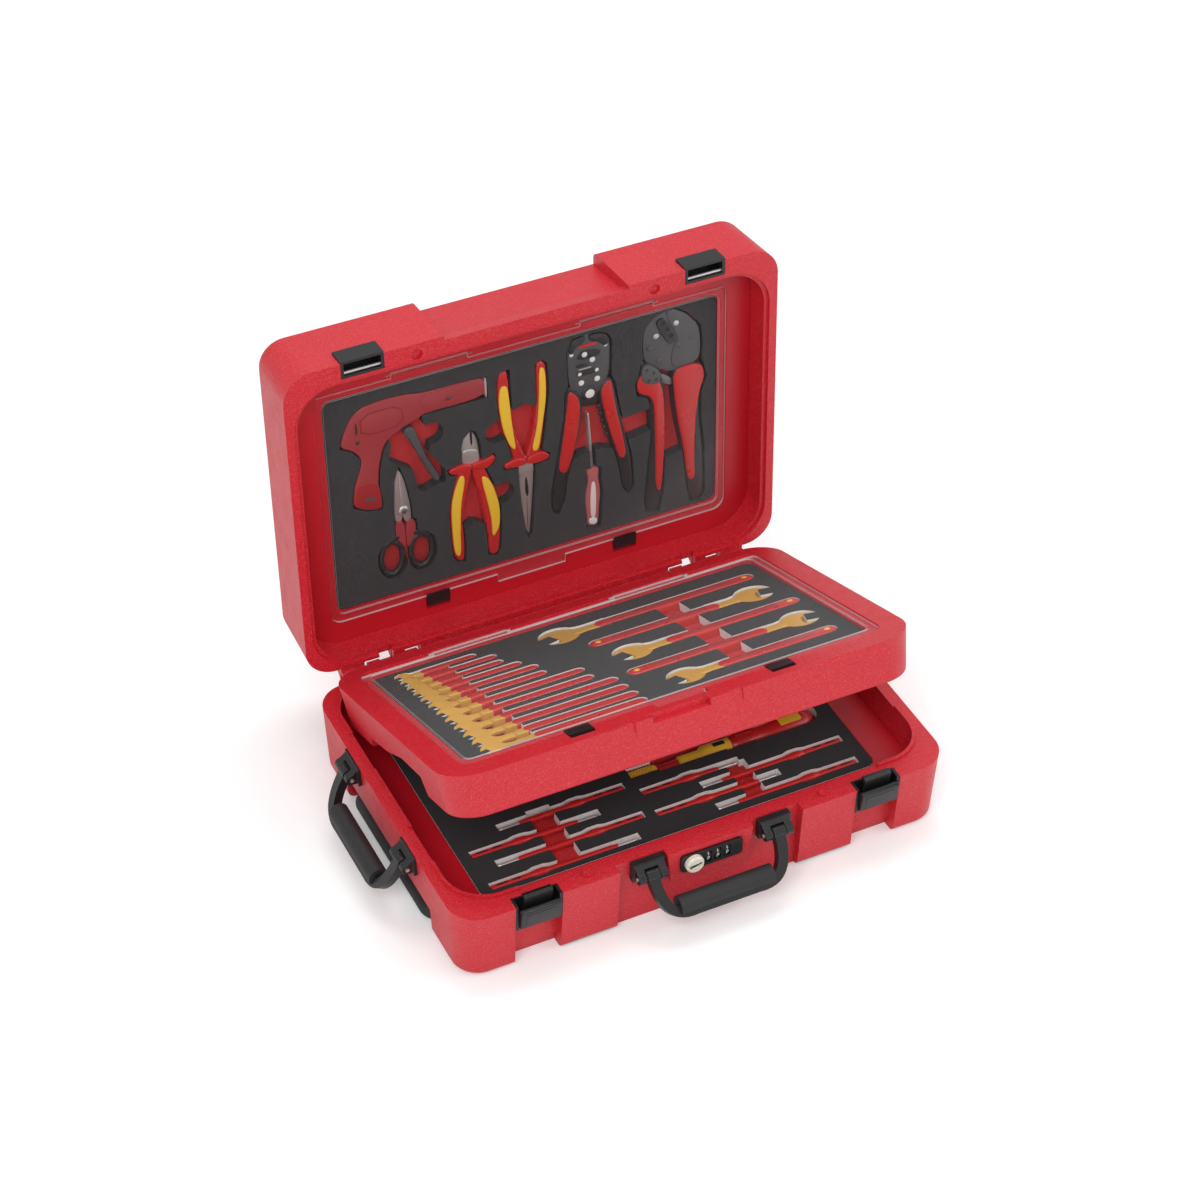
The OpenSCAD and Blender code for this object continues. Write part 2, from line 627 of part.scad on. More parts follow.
// Drawn with the underside of the cover at z = 0
module cover(tab_w) {
    translate([0, -(cover_s0 + cover_s1) / 2, 0]) linear_extrude(cover_t) difference() {
        round_rect(cover_w, cover_s1 - cover_s0, 13.5);
        translate([0, (cover_s1 - cover_s0) / 2 - 2]) square([cover_w, 6], center = true);
    }
    translate([-tab_w / 2, -cover_s1 - 9, 0]) cube([tab_w, 12, cover_t]);
    for (s = [-1, 1]) translate([s * 100 - 40, -cover_s0, cover_t / 2]) {
        bar_x(0, 80, barrel_r);
        bar_x(-4.5, 84.5, cover_pin_r);
        translate([0, -8, -cover_t / 2]) cube([80, 8, cover_t]);
    }
    // stiffening bead
    translate([0, -(cover_s0 + cover_s1) / 2, cover_t - eps]) linear_extrude(0.9) difference() {
        round_rect(cover_w - 16, cover_s1 - cover_s0 - 20, 8);
        round_rect(cover_w - 19, cover_s1 - cover_s0 - 23, 6.5);
    }
}
// What is cut away for a cover, its hinge and its clips
module cover_seat(tab_w) {
    translate([0, -(cover_s0 + cover_s1) / 2, -0.1]) linear_extrude(14)
        round_rect(cover_w + 1, cover_s1 - cover_s0 + 1, 14);
    translate([-tab_w / 2 - 1, -cover_s1 - 10, -0.1]) cube([tab_w + 2, 12, 14]);
    for (s = [-1, 1]) {
        translate([s * 100 - 41, -cover_s0 - 3, cover_t / 2 - barrel_r - 0.3]) cube([82, 6, 14]);
        translate([s * 100 - 46, -cover_s0, cover_t / 2]) bar_x(0, 92, cover_pin_r + run);
        translate([s * clip_x - clip_w / 2 - 0.4, -cover_s1 - 11 - clip_travel - 0.5, -0.1])
            cube([clip_w + 0.8, 15 + clip_travel, 14]);
    }
}
// A sliding clip, shown with its lug over the cover's edge
module clip() {
    translate([-clip_w / 2, -cover_s1 - 11, 0.2]) cube([clip_w, 9, 4.2]);
    translate([-clip_w / 2, -cover_s1 - 3, cover_t + 0.4]) cube([clip_w, 6, 2]);
}

tray_cover_up = tray_up - cover_t - 1.2;
module tray_cover() color(clear) leaf(tray_open) translate([0, 0, tray_cover_up]) cover(tray_tab_w);
module tray_clip(side) {
    color(black) leaf(tray_open) translate([side * clip_x, 0, tray_cover_up]) clip();
}
module tray_clip_left() tray_clip(-1);
module tray_clip_right() tray_clip(1);

// ---------- lid fittings ----------

lid_foam_s = hinge_y - open_mid - 1;
lid_ledge_w = rim_gap / 2 + lid_ledge;
lid_back_w = rim_gap / 2 + lid_h - shell_wall;
lid_face_w = lid_ledge_w + 5;
lid_plate_t = 8;

// The cover's frame in the lid is the tray's, turned over and hinged at the free edge
module lid_cover_frame() {
    translate([0, -2 * lid_foam_s + 4, lid_ledge_w + 2.9]) rotate([180, 0, 0]) children();
}

module lid_liner() color("#a81226") leaf(lid_open) difference() {
    translate([0, -hinge_y + open_mid, lid_ledge_w]) linear_extrude(lid_back_w - lid_ledge_w - 0.1)
        round_rect(2 * open_x - 0.6, open_d - 0.6, opening_r - 0.3);
    lid_cover_frame() cover_seat(lid_tab_w);
    translate([0, 0, lid_ledge_w + lid_plate_t]) linear_extrude(lid_h) difference() {
        translate([0, -hinge_y + open_mid]) round_rect(2 * open_x - 0.6 - 2 * liner_wall,
            open_d - 0.6 - 2 * liner_wall, opening_r - 0.3 - liner_wall);
        translate([0, -lid_foam_s]) round_rect(foam_w + 1 + 2 * liner_wall, foam_d + 1 + 2 * liner_wall,
            foam_r + liner_wall);
    }
    translate([0, -lid_foam_s, 0]) linear_extrude(2 * lid_h) round_rect(foam_w + 1, foam_d + 1, foam_r + 0.5);
}

module lid_foam_red() color(red) leaf(lid_open)
    translate([0, -lid_foam_s, lid_face_w + foam_top_t + eps])
        linear_extrude(lid_back_w - lid_face_w - foam_top_t - 0.1 - eps) foam_plan();

module lid_foam() color(charcoal) leaf(lid_open) difference() {
    translate([0, -lid_foam_s, lid_face_w]) linear_extrude(foam_top_t) foam_plan();
    translate([0, 0, lid_face_w - 1]) linear_extrude(foam_top_t + 2) plan() {
        offset(delta = tool_gap) gun_plan();
        offset(delta = tool_gap) trigger_cheek();
        polygon([[-146, 241], [-133, 248], [-118, 254], [-109, 254], [-106, 232], [-128, 229], [-143, 234]]);
        for (a = [0:3.5:14]) translate(trigger_pivot) rotate(-a) translate(-trigger_pivot)
            offset(delta = tool_gap) trigger_plan();
        offset(delta = tool_gap) scissors_plan();
        offset(delta = tool_gap) cutters_plan();
        offset(delta = tool_gap) long_nose_plan();
        offset(delta = tool_gap) stripper_plan();
        offset(delta = tool_gap) tester_plan();
        offset(delta = tool_gap) crimper_plan();
        finger_cuts();
    }
}

// Outlines below are drawn in x and distance s from the hinge line
module plan() {
    mirror([0, 1]) children();
}
module tool(h, lift = 0) {
    leaf(lid_open) translate([0, 0, lid_face_w + foam_top_t - eps - lift - h])
        linear_extrude(h) plan() children();
}

// Outlines of the lid's tools, as corner points in x and s
gun_frame = [[-41, 279], [-64, 280.5], [-107, 281], [-125, 285], [-148, 286], [-170, 284], [-182, 276],
    [-192, 257], [-195, 243.5], [-183, 237], [-174, 225], [-176, 213], [-182.5, 197], [-186, 180],
    [-185, 170.5], [-173.5, 164], [-158, 160.5], [-155.7, 166], [-158.5, 186], [-157, 207], [-151.5, 230],
    [-145.5, 239], [-133, 246], [-119, 251], [-111.5, 253], [-108, 257], [-40, 256.5]];
module gun_plan() {
    polygon(gun_frame);
}
module trigger_cheek() {
    limb([[-123, 256], [-123, 250], trigger_pivot], 11, 10, 2);
}
module trigger_plan() {
    limb([trigger_pivot, [-116, 226], [-110, 205], [-96, 176]], 11, 7, 8);
}
module scissor_blades() {
    polygon([[-136.6, 201], [-141, 187], [-143.5, 151], [-142.5, 132], [-125.5, 132], [-126, 153],
        [-128.5, 169], [-132, 187]]);
}
module scissors_plan() {
    scissor_blades();
    scissor_handles();
}
module scissor_handles() {
    polygon([[-143.5, 138], [-122.5, 137], [-121, 122], [-110, 112], [-124, 96], [-132.5, 104], [-141, 96],
        [-153, 108], [-144, 120]]);
    for (m = [0, 1]) translate([-132.7, 95.5]) mirror([m, 0])
        translate([16, 0]) rotate(m * -3) scale([0.64, 1]) circle(23);
}
module cutter_head() {
    polygon([[-58.5, 221], [-65.8, 214], [-69, 203], [-69.5, 176], [-49, 172], [-49, 197], [-50.7, 209],
        [-55, 219]]);
}
cutter_left = [[-73.5, 177], [-80.3, 156], [-84.5, 136], [-85, 110], [-83.5, 78], [-78, 68], [-71, 67],
    [-70, 94], [-72, 118], [-68, 140], [-58.9, 172], [-56.5, 182]];
cutter_right = [[-59.5, 181], [-46.5, 176], [-36.7, 150], [-30.6, 125], [-30.5, 98], [-32.7, 69], [-37, 63.5],
    [-44.4, 66], [-45.2, 88], [-46.9, 109], [-49.2, 131], [-58.5, 172]];
module cutter_guard() {
    polygon([[-84.5, 183], [-71, 185.5], [-58.8, 182], [-47, 183], [-36, 187], [-33.5, 182.5], [-37.5, 176],
        [-47.5, 171.5], [-58.8, 176], [-71.7, 173], [-83, 177]]);
}
module cutters_plan() {
    cutter_head();
    polygon(cutter_left);
    polygon(cutter_right);
    cutter_guard();
}
module nose_jaws() {
    polygon([[-9, 172], [9, 172], [8.4, 139], [5.4, 106], [2.6, 77], [0, 74.5], [-3.4, 88], [-7.2, 128]]);
}
nose_left = [[-16, 279.5], [-24, 279], [-27.5, 274], [-29, 255], [-28.7, 240], [-25, 212], [-17, 187],
    [-13, 168], [-3, 163], [1, 168], [-7.5, 192], [-13.8, 219], [-15, 245]];
nose_right = [[13, 277], [19, 280.5], [24.7, 275], [25.8, 243], [20.5, 201], [16, 172], [4, 163], [-1, 167],
    [9, 197], [13.6, 232]];
module nose_guard() {
    polygon([[-25, 170.5], [-13, 174], [0.1, 171], [15.3, 175], [25, 168.5], [23.6, 162.8], [11.6, 161],
        [0, 163], [-13.3, 163], [-24, 164.5]]);
}
module long_nose_plan() {
    nose_jaws();
    polygon(nose_left);
    polygon(nose_right);
    nose_guard();
}
stripper_head = [[47.5, 282], [52, 293], [60, 295.5], [70, 296], [84, 293.5], [90.5, 290.5], [95.5, 281],
    [94.3, 241], [82, 222], [60, 222], [48.5, 239]];
stripper_left = [[48, 240], [62, 229], [62, 214], [59, 177], [45, 137], [40, 105], [34, 92], [29, 94],
    [27, 101], [27, 120], [34.5, 160], [43, 207], [44.5, 235]];
stripper_right = [[94, 240], [81, 229], [82.5, 210], [91, 172], [102, 134], [106.5, 101], [112.6, 92],
    [118.5, 97.5], [117, 133], [110, 167], [103, 202], [98, 232]];
stripper_web = [[59, 232], [84, 232], [84, 208], [60, 208]];
module stripper_plan() {
    polygon(stripper_head);
    polygon(stripper_web);
    polygon(stripper_left);
    polygon(stripper_right);
}
module tester_plan() {
    limb([[71, 198], [73, 160], [74.2, 132]], 3.6, 4.6, 2);
    polygon([[66, 134], [81, 133], [81.8, 127], [80.8, 121], [82, 112], [83.2, 100], [81.5, 86], [80, 59],
        [65.8, 62], [66, 76], [64, 92], [64.4, 104], [67, 115], [68, 122], [66.4, 128]]);
}
crimper_head = [[157, 297], [165, 298], [180, 288], [193.5, 271], [196, 255], [195, 226], [163, 222],
    [153, 227], [140, 236.5], [131.5, 245.5], [130.3, 268], [133, 283], [143.5, 292.5]];
crimper_left = [[128.5, 241], [136, 242.5], [148.5, 232.5], [152, 222], [156, 202], [156, 182], [155.5, 146],
    [152, 79], [148, 58], [133, 60.5], [131.5, 75], [136, 123], [139.5, 151], [139, 190], [136.5, 201],
    [124, 207], [122, 220], [126, 230]];
crimper_right = [[163, 227], [196, 228], [201.3, 208.5], [195, 190], [195.2, 160], [199.7, 119], [200.3, 66],
    [195.5, 57], [184, 58], [180, 82], [175.7, 126], [167.5, 168], [164.4, 195]];
module crimper_plan() {
    polygon(crimper_head);
    polygon(crimper_left);
    polygon(crimper_right);
    polygon([[150, 224], [164, 216], [166, 202], [152, 204]]);
}
// Cut-outs for fingers, and the trigger's way to the gun's grip
module finger_cuts() {
    polygon([[-112, 249], [-142, 240], [-146, 214], [-122, 196], [-108, 176], [-88, 170], [-88, 186],
        [-104, 210], [-98, 236]]);
    for (p = [[-131, 220], [-100, 232], [-31, 211], [-27, 137]]) translate(p) circle(12.5);
    polygon([[-59, 180], [-46, 162], [-34, 108], [-46, 104], [-60, 112], [-72, 104], [-78, 116]]);
    polygon([[-3, 160], [-22, 222], [-14, 232], [0, 236], [14, 228], [23, 214], [8, 162]]);
    polygon([[60, 214], [84, 214], [95, 172], [100, 150], [85, 156], [62, 156], [46, 148], [59, 177]]);
    polygon([[100, 184], [142, 188], [142, 162], [108, 156]]);
    polygon([[150, 230], [168, 230], [168, 195], [179, 126], [150, 120]]);
    polygon([[-138, 90], [-128, 90], [-128, 106], [-138, 106]]);
}

// The trigger turns on a pin under a thin plate of the gun's body
module tie_gun() color(red) {
    tool(12) gun_plan();
    tool(1.6, 10.4) trigger_cheek();
    tool(11) translate(trigger_pivot) circle(trigger_pin_r);
    tool(1.2, 12 - eps) translate([-151, 262.5]) square([40, 22], center = true);
}
module tie_gun_trigger() color("#8a8a8a") difference() {
    tool(10) trigger_plan();
    tool(12, -1) translate(trigger_pivot) circle(trigger_pin_r + run);
}
trigger_pivot = [-122, 239];
trigger_pin_r = 1.6;
module scissors() color(steel) {
    tool(9) difference() {
        scissors_plan();
        for (m = [0, 1]) translate([-132.7, 95.5]) mirror([m, 0])
            translate([16, 0]) rotate(m * -3) scale([0.48, 0.8]) circle(22);
    }
    tool(2, 9) translate([-133.4, 149]) circle(6);
}
module side_cutters() color(red) {
    tool(9) cutter_head();
    tool(11) polygon(cutter_left);
    tool(12) polygon(cutter_right);
    tool(13) cutter_guard();
}
module long_nose_pliers() color(red) {
    tool(9) nose_jaws();
    tool(11) polygon(nose_left);
    tool(12) polygon(nose_right);
    tool(13) nose_guard();
}
module wire_stripper() color("#5b5b5b") {
    tool(10) polygon(stripper_head);
    tool(11) polygon(stripper_left);
    tool(12) polygon(stripper_right);
    tool(9) polygon(stripper_web);
    tool(3, 10 - eps) translate([71, 226]) circle(8.5);
}
module voltage_tester() color("#e39a9a") tool(9) tester_plan();
module crimping_pliers() color("#5b5b5b") {
    tool(10) polygon(crimper_head);
    tool(11) polygon(crimper_left);
    tool(12) polygon(crimper_right);
    tool(9) polygon([[150, 224], [164, 216], [166, 202], [152, 204]]);
    for (p = [[168, 280], [145.5, 270], [138.5, 258], [150, 240], [167.5, 253], [184, 257]])
        tool(1.5, 10 - eps) translate(p) circle(3.2);
}

module lid_hoods() color(black) leaf(lid_open) for (s = [-1, 1])
    translate([s * latch_x, front_y - hinge_y, rim_gap / 2]) difference() {
        translate([-hood_w / 2 + 0.2, -1.5, 0]) cube([hood_w - 0.4, hood_d + 1.3, hood_h - 0.2]);
        translate([-hood_w / 2 + 3.2, 1.2, -1]) cube([hood_w - 6.4, hood_d - 4, 14]);
        translate([-hood_w / 2, bar_y - front_y, bar_w - rim_gap / 2]) bar_x(1, hood_w - 1, 1.5 + run);
    }
bar_y = front_y + 12.5;
bar_w = 3.6;
module latch_bars() color(steel) leaf(lid_open) for (s = [-1, 1])
    translate([s * latch_x - hood_w / 2 + 1.2, bar_y - hinge_y, bar_w]) bar_x(0, hood_w - 2.4, 1.5);

module lid_cover() color(clear) leaf(lid_open) lid_cover_frame() cover(lid_tab_w);
module lid_clip(side) {
    color(black) leaf(lid_open) lid_cover_frame() translate([side * clip_x, 0, 0]) clip();
}
module lid_clip_left() lid_clip(-1);
module lid_clip_right() lid_clip(1);

// ---------- latches ----------

latch_z0 = 49;
latch_pivot_y = front_y + 8;
latch_pivot_z = 56;
latch_h = base_h - latch_z0;

module latch_frames() color(black)
for (s = [-1, 1]) translate([s * latch_x, front_y, latch_z0]) difference() {
    translate([-latch_w / 2 + 0.2, 1, 0]) cube([latch_w - 0.4, latch_deep - 1.2, latch_h]);
    translate([-latch_w / 2 + 3, -1, -1]) cube([latch_w - 6, latch_deep - 1, latch_h + 2]);
    translate([0, latch_pivot_y - front_y, latch_pivot_z - latch_z0])
        bar_x(-latch_w / 2 + 1.2, latch_w / 2 - 1.2, 1.5 + run);
}
module latch_pins() color(steel) for (s = [-1, 1])
    translate([s * latch_x, latch_pivot_y, latch_pivot_z]) bar_x(-latch_w / 2 + 1.4, latch_w / 2 - 1.4, 1.5);
module latch_lever() {
    w = latch_w - 7;
    difference() {
        union() {
            rotate([90, 0, 90]) translate([0, 0, -w / 2]) linear_extrude(w) {
                circle(3);
                polygon([[-9, -4], [-5.5, -4], [-5.5, -1.5], [2, -2], [-1, 5], [-5.5, 9],
                    [-5.5, base_h - latch_pivot_z - 2],
                    [-8, base_h - latch_pivot_z - 0.5], [-9, base_h - latch_pivot_z - 3]]);
            }
            translate([-w / 2 + 4, -10, 0]) cube([w - 8, 2, base_h - latch_pivot_z - 7]);
            // hook that reaches over the lid's bar
            rotate([90, 0, 90]) translate([0, 0, -w / 2 + 6]) linear_extrude(w - 12)
                polygon([[-1.5, 0], [1.2, 0], [1.2, hook_z - 1], [5.4, hook_z], [5.4, hook_z + 2], [1.5, hook_z + 4],
                    [-1.5, hook_z + 2]]);
        }
        bar_x(-w, w, 1.5 + run);
    }
}
hook_z = hinge_z + bar_w + 1.5 + 0.4 - latch_pivot_z;
module latch_at(s) {
    translate([s * latch_x, latch_pivot_y, latch_pivot_z]) rotate([latch_tilt, 0, 0]) children();
}
module latch_left() color(black) latch_at(-1) latch_lever();
module latch_right() color(black) latch_at(1) latch_lever();

// ---------- lock ----------

module lock_plate() color(black) difference() {
    translate([lock_x, front_y + 1.4, lock_z]) rotate([90, 0, 0]) linear_extrude(plate_t)
        difference() {
            round_rect(plate_w - 0.6, plate_h - 0.6, 4);
            for (i = [-1:1]) translate([dial_x + i * dial_pitch - lock_x, 0])
                square([dial_w + 0.8, 13.5], center = true);
        }
    translate([knob_x, front_y - 3, lock_z]) rotate([-90, 0, 0]) cylinder(r = 3.5 + run, h = 10);
}
module lock_axle() color(steel) translate([dial_x, dial_y, lock_z])
    bar_x(-1.5 * dial_pitch + 0.1, 1.5 * dial_pitch - 0.1, 1);
module lock_knob() color("#e8e2d2") translate([knob_x, front_y - 1.9, lock_z]) rotate([90, 0, 0]) {
    difference() {
        union() {
            cylinder(r = knob_r, h = 4);
            translate([0, 0, 4]) cylinder(r1 = knob_r, r2 = knob_r - 1.2, h = 1.5);
        }
        translate([-knob_r, -1.6, 3.5]) cube([2 * knob_r, 3.2, 4]);
    }
    translate([0, 0, -rim_front + 3]) cylinder(r = 3.5, h = rim_front - 3 + eps);
}
module lock_bolt() color(black) translate([bolt_x - 4, open_front - 5, lock_z - 4]) cube([10, 8, 8]);
module dial(i) {
    color("#2a2a2a") translate([dial_x + i * dial_pitch - dial_w / 2, dial_y, lock_z]) difference() {
        rotate([0, 90, 0]) rotate_extrude() polygon([[1 + run, 0], [dial_r - 0.6, 0], [dial_r, 0.8],
            [dial_r, dial_w - 0.8], [dial_r - 0.6, dial_w], [1 + run, dial_w]]);
        for (a = [0:9]) rotate([a * 36 + 18, 0, 0])
            translate([-1, -dial_r - 0.6, -0.7]) cube([dial_w + 2, 1.2, 1.4]);
    }
}
module dial_1() dial(-1);
module dial_2() dial(0);
module dial_3() dial(1);

// ---------- carrying handles ----------

eye_r = 6.5;
arm_t = 9.5;
module bail_plan() {
    half = bail_span / 2;
    limb([[-half, 0], [-half, -bail_drop * 0.9], [-half + 10, -bail_drop - 10],
        [-half + 34, -bail_drop - 8]], 11, 9, 12);
    limb([[half, 0], [half, -bail_drop * 0.9], [half - 10, -bail_drop - 10],
        [half - 34, -bail_drop - 8]], 11, 9, 12);
    translate([-half + 34, -bail_drop - 12.5]) square([bail_span - 68, 9]);
}
module bail_frame() {
    difference() {
        union() {
            rotate([90, 0, 0]) translate([0, 0, -arm_t / 2]) linear_extrude(arm_t) bail_plan();
            for (s = [-1, 1]) translate([s * bail_span / 2, 0, 0]) bar_x(-6.5, 6.5, eye_r);
        }
        bar_x(-bail_span, bail_span, 2 + run);
    }
}
module bail_sleeve() {
    difference() {
        translate([0, 0, -bail_drop]) {
            bar_x(-bail_span / 2 + 17, bail_span / 2 - 17, grip_r);
        }
        rotate([90, 0, 0]) translate([0, 0, -arm_t / 2 - 0.05]) linear_extrude(arm_t + 0.1)
            offset(delta = 0.05) bail_plan();
    }
}
// One bracket: a block on the wall with two ears beside the arm
bracket_w = 34;
pivot_out = 9;
// back and lean set the plane that the brackets' plates lie against
module bail_brackets(back, lean) {
    for (s = [-1, 1]) translate([s * bail_span / 2, 0, 0]) difference() {
        union() {
            rotate([90, 0, 90]) translate([0, 0, -bracket_w / 2]) linear_extrude(bracket_w)
                polygon([[pivot_out - 3, -9], [pivot_out - 3, 13], [back - lean * 13, 13], [back + lean * 9, -9]]);
            rotate([90, 0, 90]) translate([0, 0, -bracket_w / 2 + 2]) linear_extrude(bracket_w - 4) {
                circle(6);
                polygon([[-5.5, 2], [pivot_out - 2, 12], [pivot_out - 2, -6], [0, -6]]);
            }
        }
        translate([-7.3, -20, -20]) cube([14.6, 20 + eye_r + 1, 28]);
        bar_x(-bracket_w, bracket_w, 2 + run);
    }
}
module bail_pins() {
    for (s = [-1, 1]) translate([s * bail_span / 2, 0, 0]) bar_x(-bracket_w / 2 + 1, bracket_w / 2 - 1, 2);
}
front_pivot_z = 64;
// How far the front handle's pivot stands off the recessed wall
front_out = recess_deep + 2;
module front_at() {
    translate([2, recess_y - front_out, front_pivot_z]) children();
}
side_y = 6;
side_pivot_z = 66;
side_wall_x = -case_w / 2 + shell_draft * (base_h - side_pivot_z) / base_h;
module side_at() {
    translate([side_wall_x - pivot_out, side_y, side_pivot_z]) rotate([0, 0, -90]) children();
}
module front_brackets() color(black) front_at() bail_brackets(front_out - 0.02, 0);
module front_pins() color(steel) front_at() bail_pins();
module front_handle() color(black) front_at() rotate([-front_swing, 0, 0]) bail_frame();
module front_grip() color("#2b2b2b") front_at() rotate([-front_swing, 0, 0]) bail_sleeve();
module side_brackets() color(black) side_at() bail_brackets(pivot_out - 0.02, shell_draft / base_h);
module side_pins() color(steel) side_at() bail_pins();
module side_handle() color(black) side_at() rotate([-side_swing, 0, 0]) bail_frame();
module side_grip() color("#2b2b2b") side_at() rotate([-side_swing, 0, 0]) bail_sleeve();

// ---------- pull handle ----------

tube_x1 = 140;
guide_x = [room_x + 8, room_x + 44];
module tube_guides() color(black) for (s = [-1, 1], x = guide_x) translate([x, s * tube_y, 0]) difference() {
    translate([0, -8, shell_wall + 0.02]) cube([20, 16, 12.6]);
    translate([0, 0, grip_z]) bar_x(-1, 21, tube_r + run);
}
module pull_tubes() color(steel) for (s = [-1, 1]) translate([0, s * tube_y, grip_z]) difference() {
    bar_x(grip_x + grip_turn, tube_x1, tube_r);
    bar_x(grip_x, tube_x1 + 1, tube_r - 1.2);
}
module pull_grip() color(black) translate([grip_x, 0, grip_z]) {
    translate([0, tube_y - grip_turn, 0]) rotate([90, 0, 0])
        cylinder(r = grip_bar_r, h = 2 * (tube_y - grip_turn));
    for (s = [0, 1]) mirror([0, s, 0]) translate([grip_turn, tube_y - grip_turn, 0])
        rotate([0, 0, 90]) rotate_extrude(angle = 90) translate([grip_turn, 0]) circle(grip_bar_r);
}

// ---------- wheels ----------

axle_l = well_w + 2 * shell_wall - 0.4;
module wheel_axles() color(steel) for (s = [-1, 1])
    translate([wheel_x, s * wheel_y + axle_l / 2, wheel_z]) rotate([90, 0, 0]) cylinder(r = 3, h = axle_l);
module wheel() {
    rotate([90, 0, 0]) translate([0, 0, -wheel_w / 2]) difference() {
        rotate_extrude() polygon([[3 + run, 0], [7, 0], [7, 2], [wheel_r - 6, 2], [wheel_r - 5, 0], [wheel_r - 2, 0],
            [wheel_r, 3], [wheel_r, wheel_w - 3], [wheel_r - 2, wheel_w], [wheel_r - 5, wheel_w],
            [wheel_r - 6, wheel_w - 2], [7, wheel_w - 2], [7, wheel_w], [3 + run, wheel_w]]);
        for (i = [0:4]) rotate([0, 0, i * 72]) translate([9.5, 0, -1]) cylinder(r = 1.6, h = wheel_w + 2);
    }
}
module wheel_front() color("#262626") translate([wheel_x, -wheel_y, wheel_z]) wheel();
module wheel_rear() color("#262626") translate([wheel_x, wheel_y, wheel_z]) wheel();

base_shell();
base_liner();
base_foam();
base_foam_red();
hinge_pins();
latch_frames();
latch_pins();
latch_left();
latch_right();
lock_plate();
lock_axle();
lock_knob();
lock_bolt();
dial_1();
dial_2();
dial_3();
front_brackets();
front_pins();
front_handle();
front_grip();
side_brackets();
side_pins();
side_handle();
side_grip();
tube_guides();
pull_tubes();
pull_grip();
wheel_axles();
wheel_front();
wheel_rear();
torque_handle();
driver_blades();
tray_shell();
tray_foam();
tray_foam_red();
small_spanners();
large_spanners();
tray_cover();
tray_clip_left();
tray_clip_right();
lid_shell();
lid_liner();
lid_foam();
lid_foam_red();
lid_hoods();
latch_bars();
lid_cover();
lid_clip_left();
lid_clip_right();
tie_gun();
tie_gun_trigger();
scissors();
side_cutters();
long_nose_pliers();
wire_stripper();
voltage_tester();
crimping_pliers();
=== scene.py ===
import bpy
import bmesh
from math import asin, cos, pi, radians, sin
from mathutils import Matrix, Vector


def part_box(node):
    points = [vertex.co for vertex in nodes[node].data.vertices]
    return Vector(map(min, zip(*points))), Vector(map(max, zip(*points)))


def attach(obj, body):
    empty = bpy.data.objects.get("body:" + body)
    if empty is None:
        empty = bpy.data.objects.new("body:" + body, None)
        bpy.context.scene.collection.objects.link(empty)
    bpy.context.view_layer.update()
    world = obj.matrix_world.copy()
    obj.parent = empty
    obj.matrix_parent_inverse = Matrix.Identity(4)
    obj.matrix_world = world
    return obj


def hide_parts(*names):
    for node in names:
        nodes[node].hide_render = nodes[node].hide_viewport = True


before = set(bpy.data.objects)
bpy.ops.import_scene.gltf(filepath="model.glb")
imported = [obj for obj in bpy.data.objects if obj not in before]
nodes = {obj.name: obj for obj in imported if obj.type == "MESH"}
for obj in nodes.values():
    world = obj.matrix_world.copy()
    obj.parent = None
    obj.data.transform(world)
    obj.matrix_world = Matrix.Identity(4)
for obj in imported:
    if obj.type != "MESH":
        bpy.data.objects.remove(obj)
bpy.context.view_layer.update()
print("frame loaded with", len(nodes), "nodes")

# camera at the photograph's angle
cameraSpec = {"place": (-1.0208, -1.9689, 2.1226), "lens": 92.29, "sensor": 36.0,
              "right": (0.8973, -0.4412, 0.0094), "up": (0.2791, 0.5839, 0.7623)}


def placeCamera(spec):
    right = Vector(spec["right"]).normalized()
    up = Vector(spec["up"])
    up = (up - right * up.dot(right)).normalized()
    turn = Matrix((right, up, right.cross(up))).transposed().to_4x4()
    data = bpy.data.cameras.new("photoCamera")
    data.lens = spec["lens"]
    data.sensor_width = spec["sensor"]
    data.clip_end = 50
    camera = bpy.data.objects.new("photoCamera", data)
    bpy.context.collection.objects.link(camera)
    camera.matrix_world = Matrix.Translation(spec["place"]) @ turn
    bpy.context.scene.camera = camera


placeCamera(cameraSpec)

# frames of the two leaves that swing on the hinge line
hingeLine = Vector((0, 0.187, 0.07925))
lidAngle, trayAngle = 93, 20.5
lidTurn = Matrix.Translation(hingeLine) @ Matrix.Rotation(-radians(lidAngle), 4, "X")
trayTurn = Matrix.Translation(hingeLine) @ Matrix.Rotation(-radians(trayAngle), 4, "X")
flat = Matrix.Identity(4)


# shared shader groups

def newGroup(name, inputs, outputs):
    tree = bpy.data.node_groups.new(name, "ShaderNodeTree")
    for label, kind, value in inputs:
        socket = tree.interface.new_socket(label, in_out="INPUT", socket_type=kind)
        socket.default_value = value
    for label, kind in outputs:
        tree.interface.new_socket(label, in_out="OUTPUT", socket_type=kind)
    return tree, tree.nodes.new("NodeGroupInput"), tree.nodes.new("NodeGroupOutput")


def addNoise(tree, vector, scale, detail=3.0, rough=0.5):
    noise = tree.nodes.new("ShaderNodeTexNoise")
    noise.inputs["Scale"].default_value = scale
    noise.inputs["Detail"].default_value = detail
    noise.inputs["Roughness"].default_value = rough
    tree.links.new(vector, noise.inputs["Vector"])
    return noise.outputs["Fac"]


def addMath(tree, operation, a, b):
    node = tree.nodes.new("ShaderNodeMath")
    node.operation = operation
    for socket, value in zip(node.inputs, (a, b)):
        if isinstance(value, (int, float)):
            socket.default_value = value
        else:
            tree.links.new(value, socket)
    return node.outputs[0]


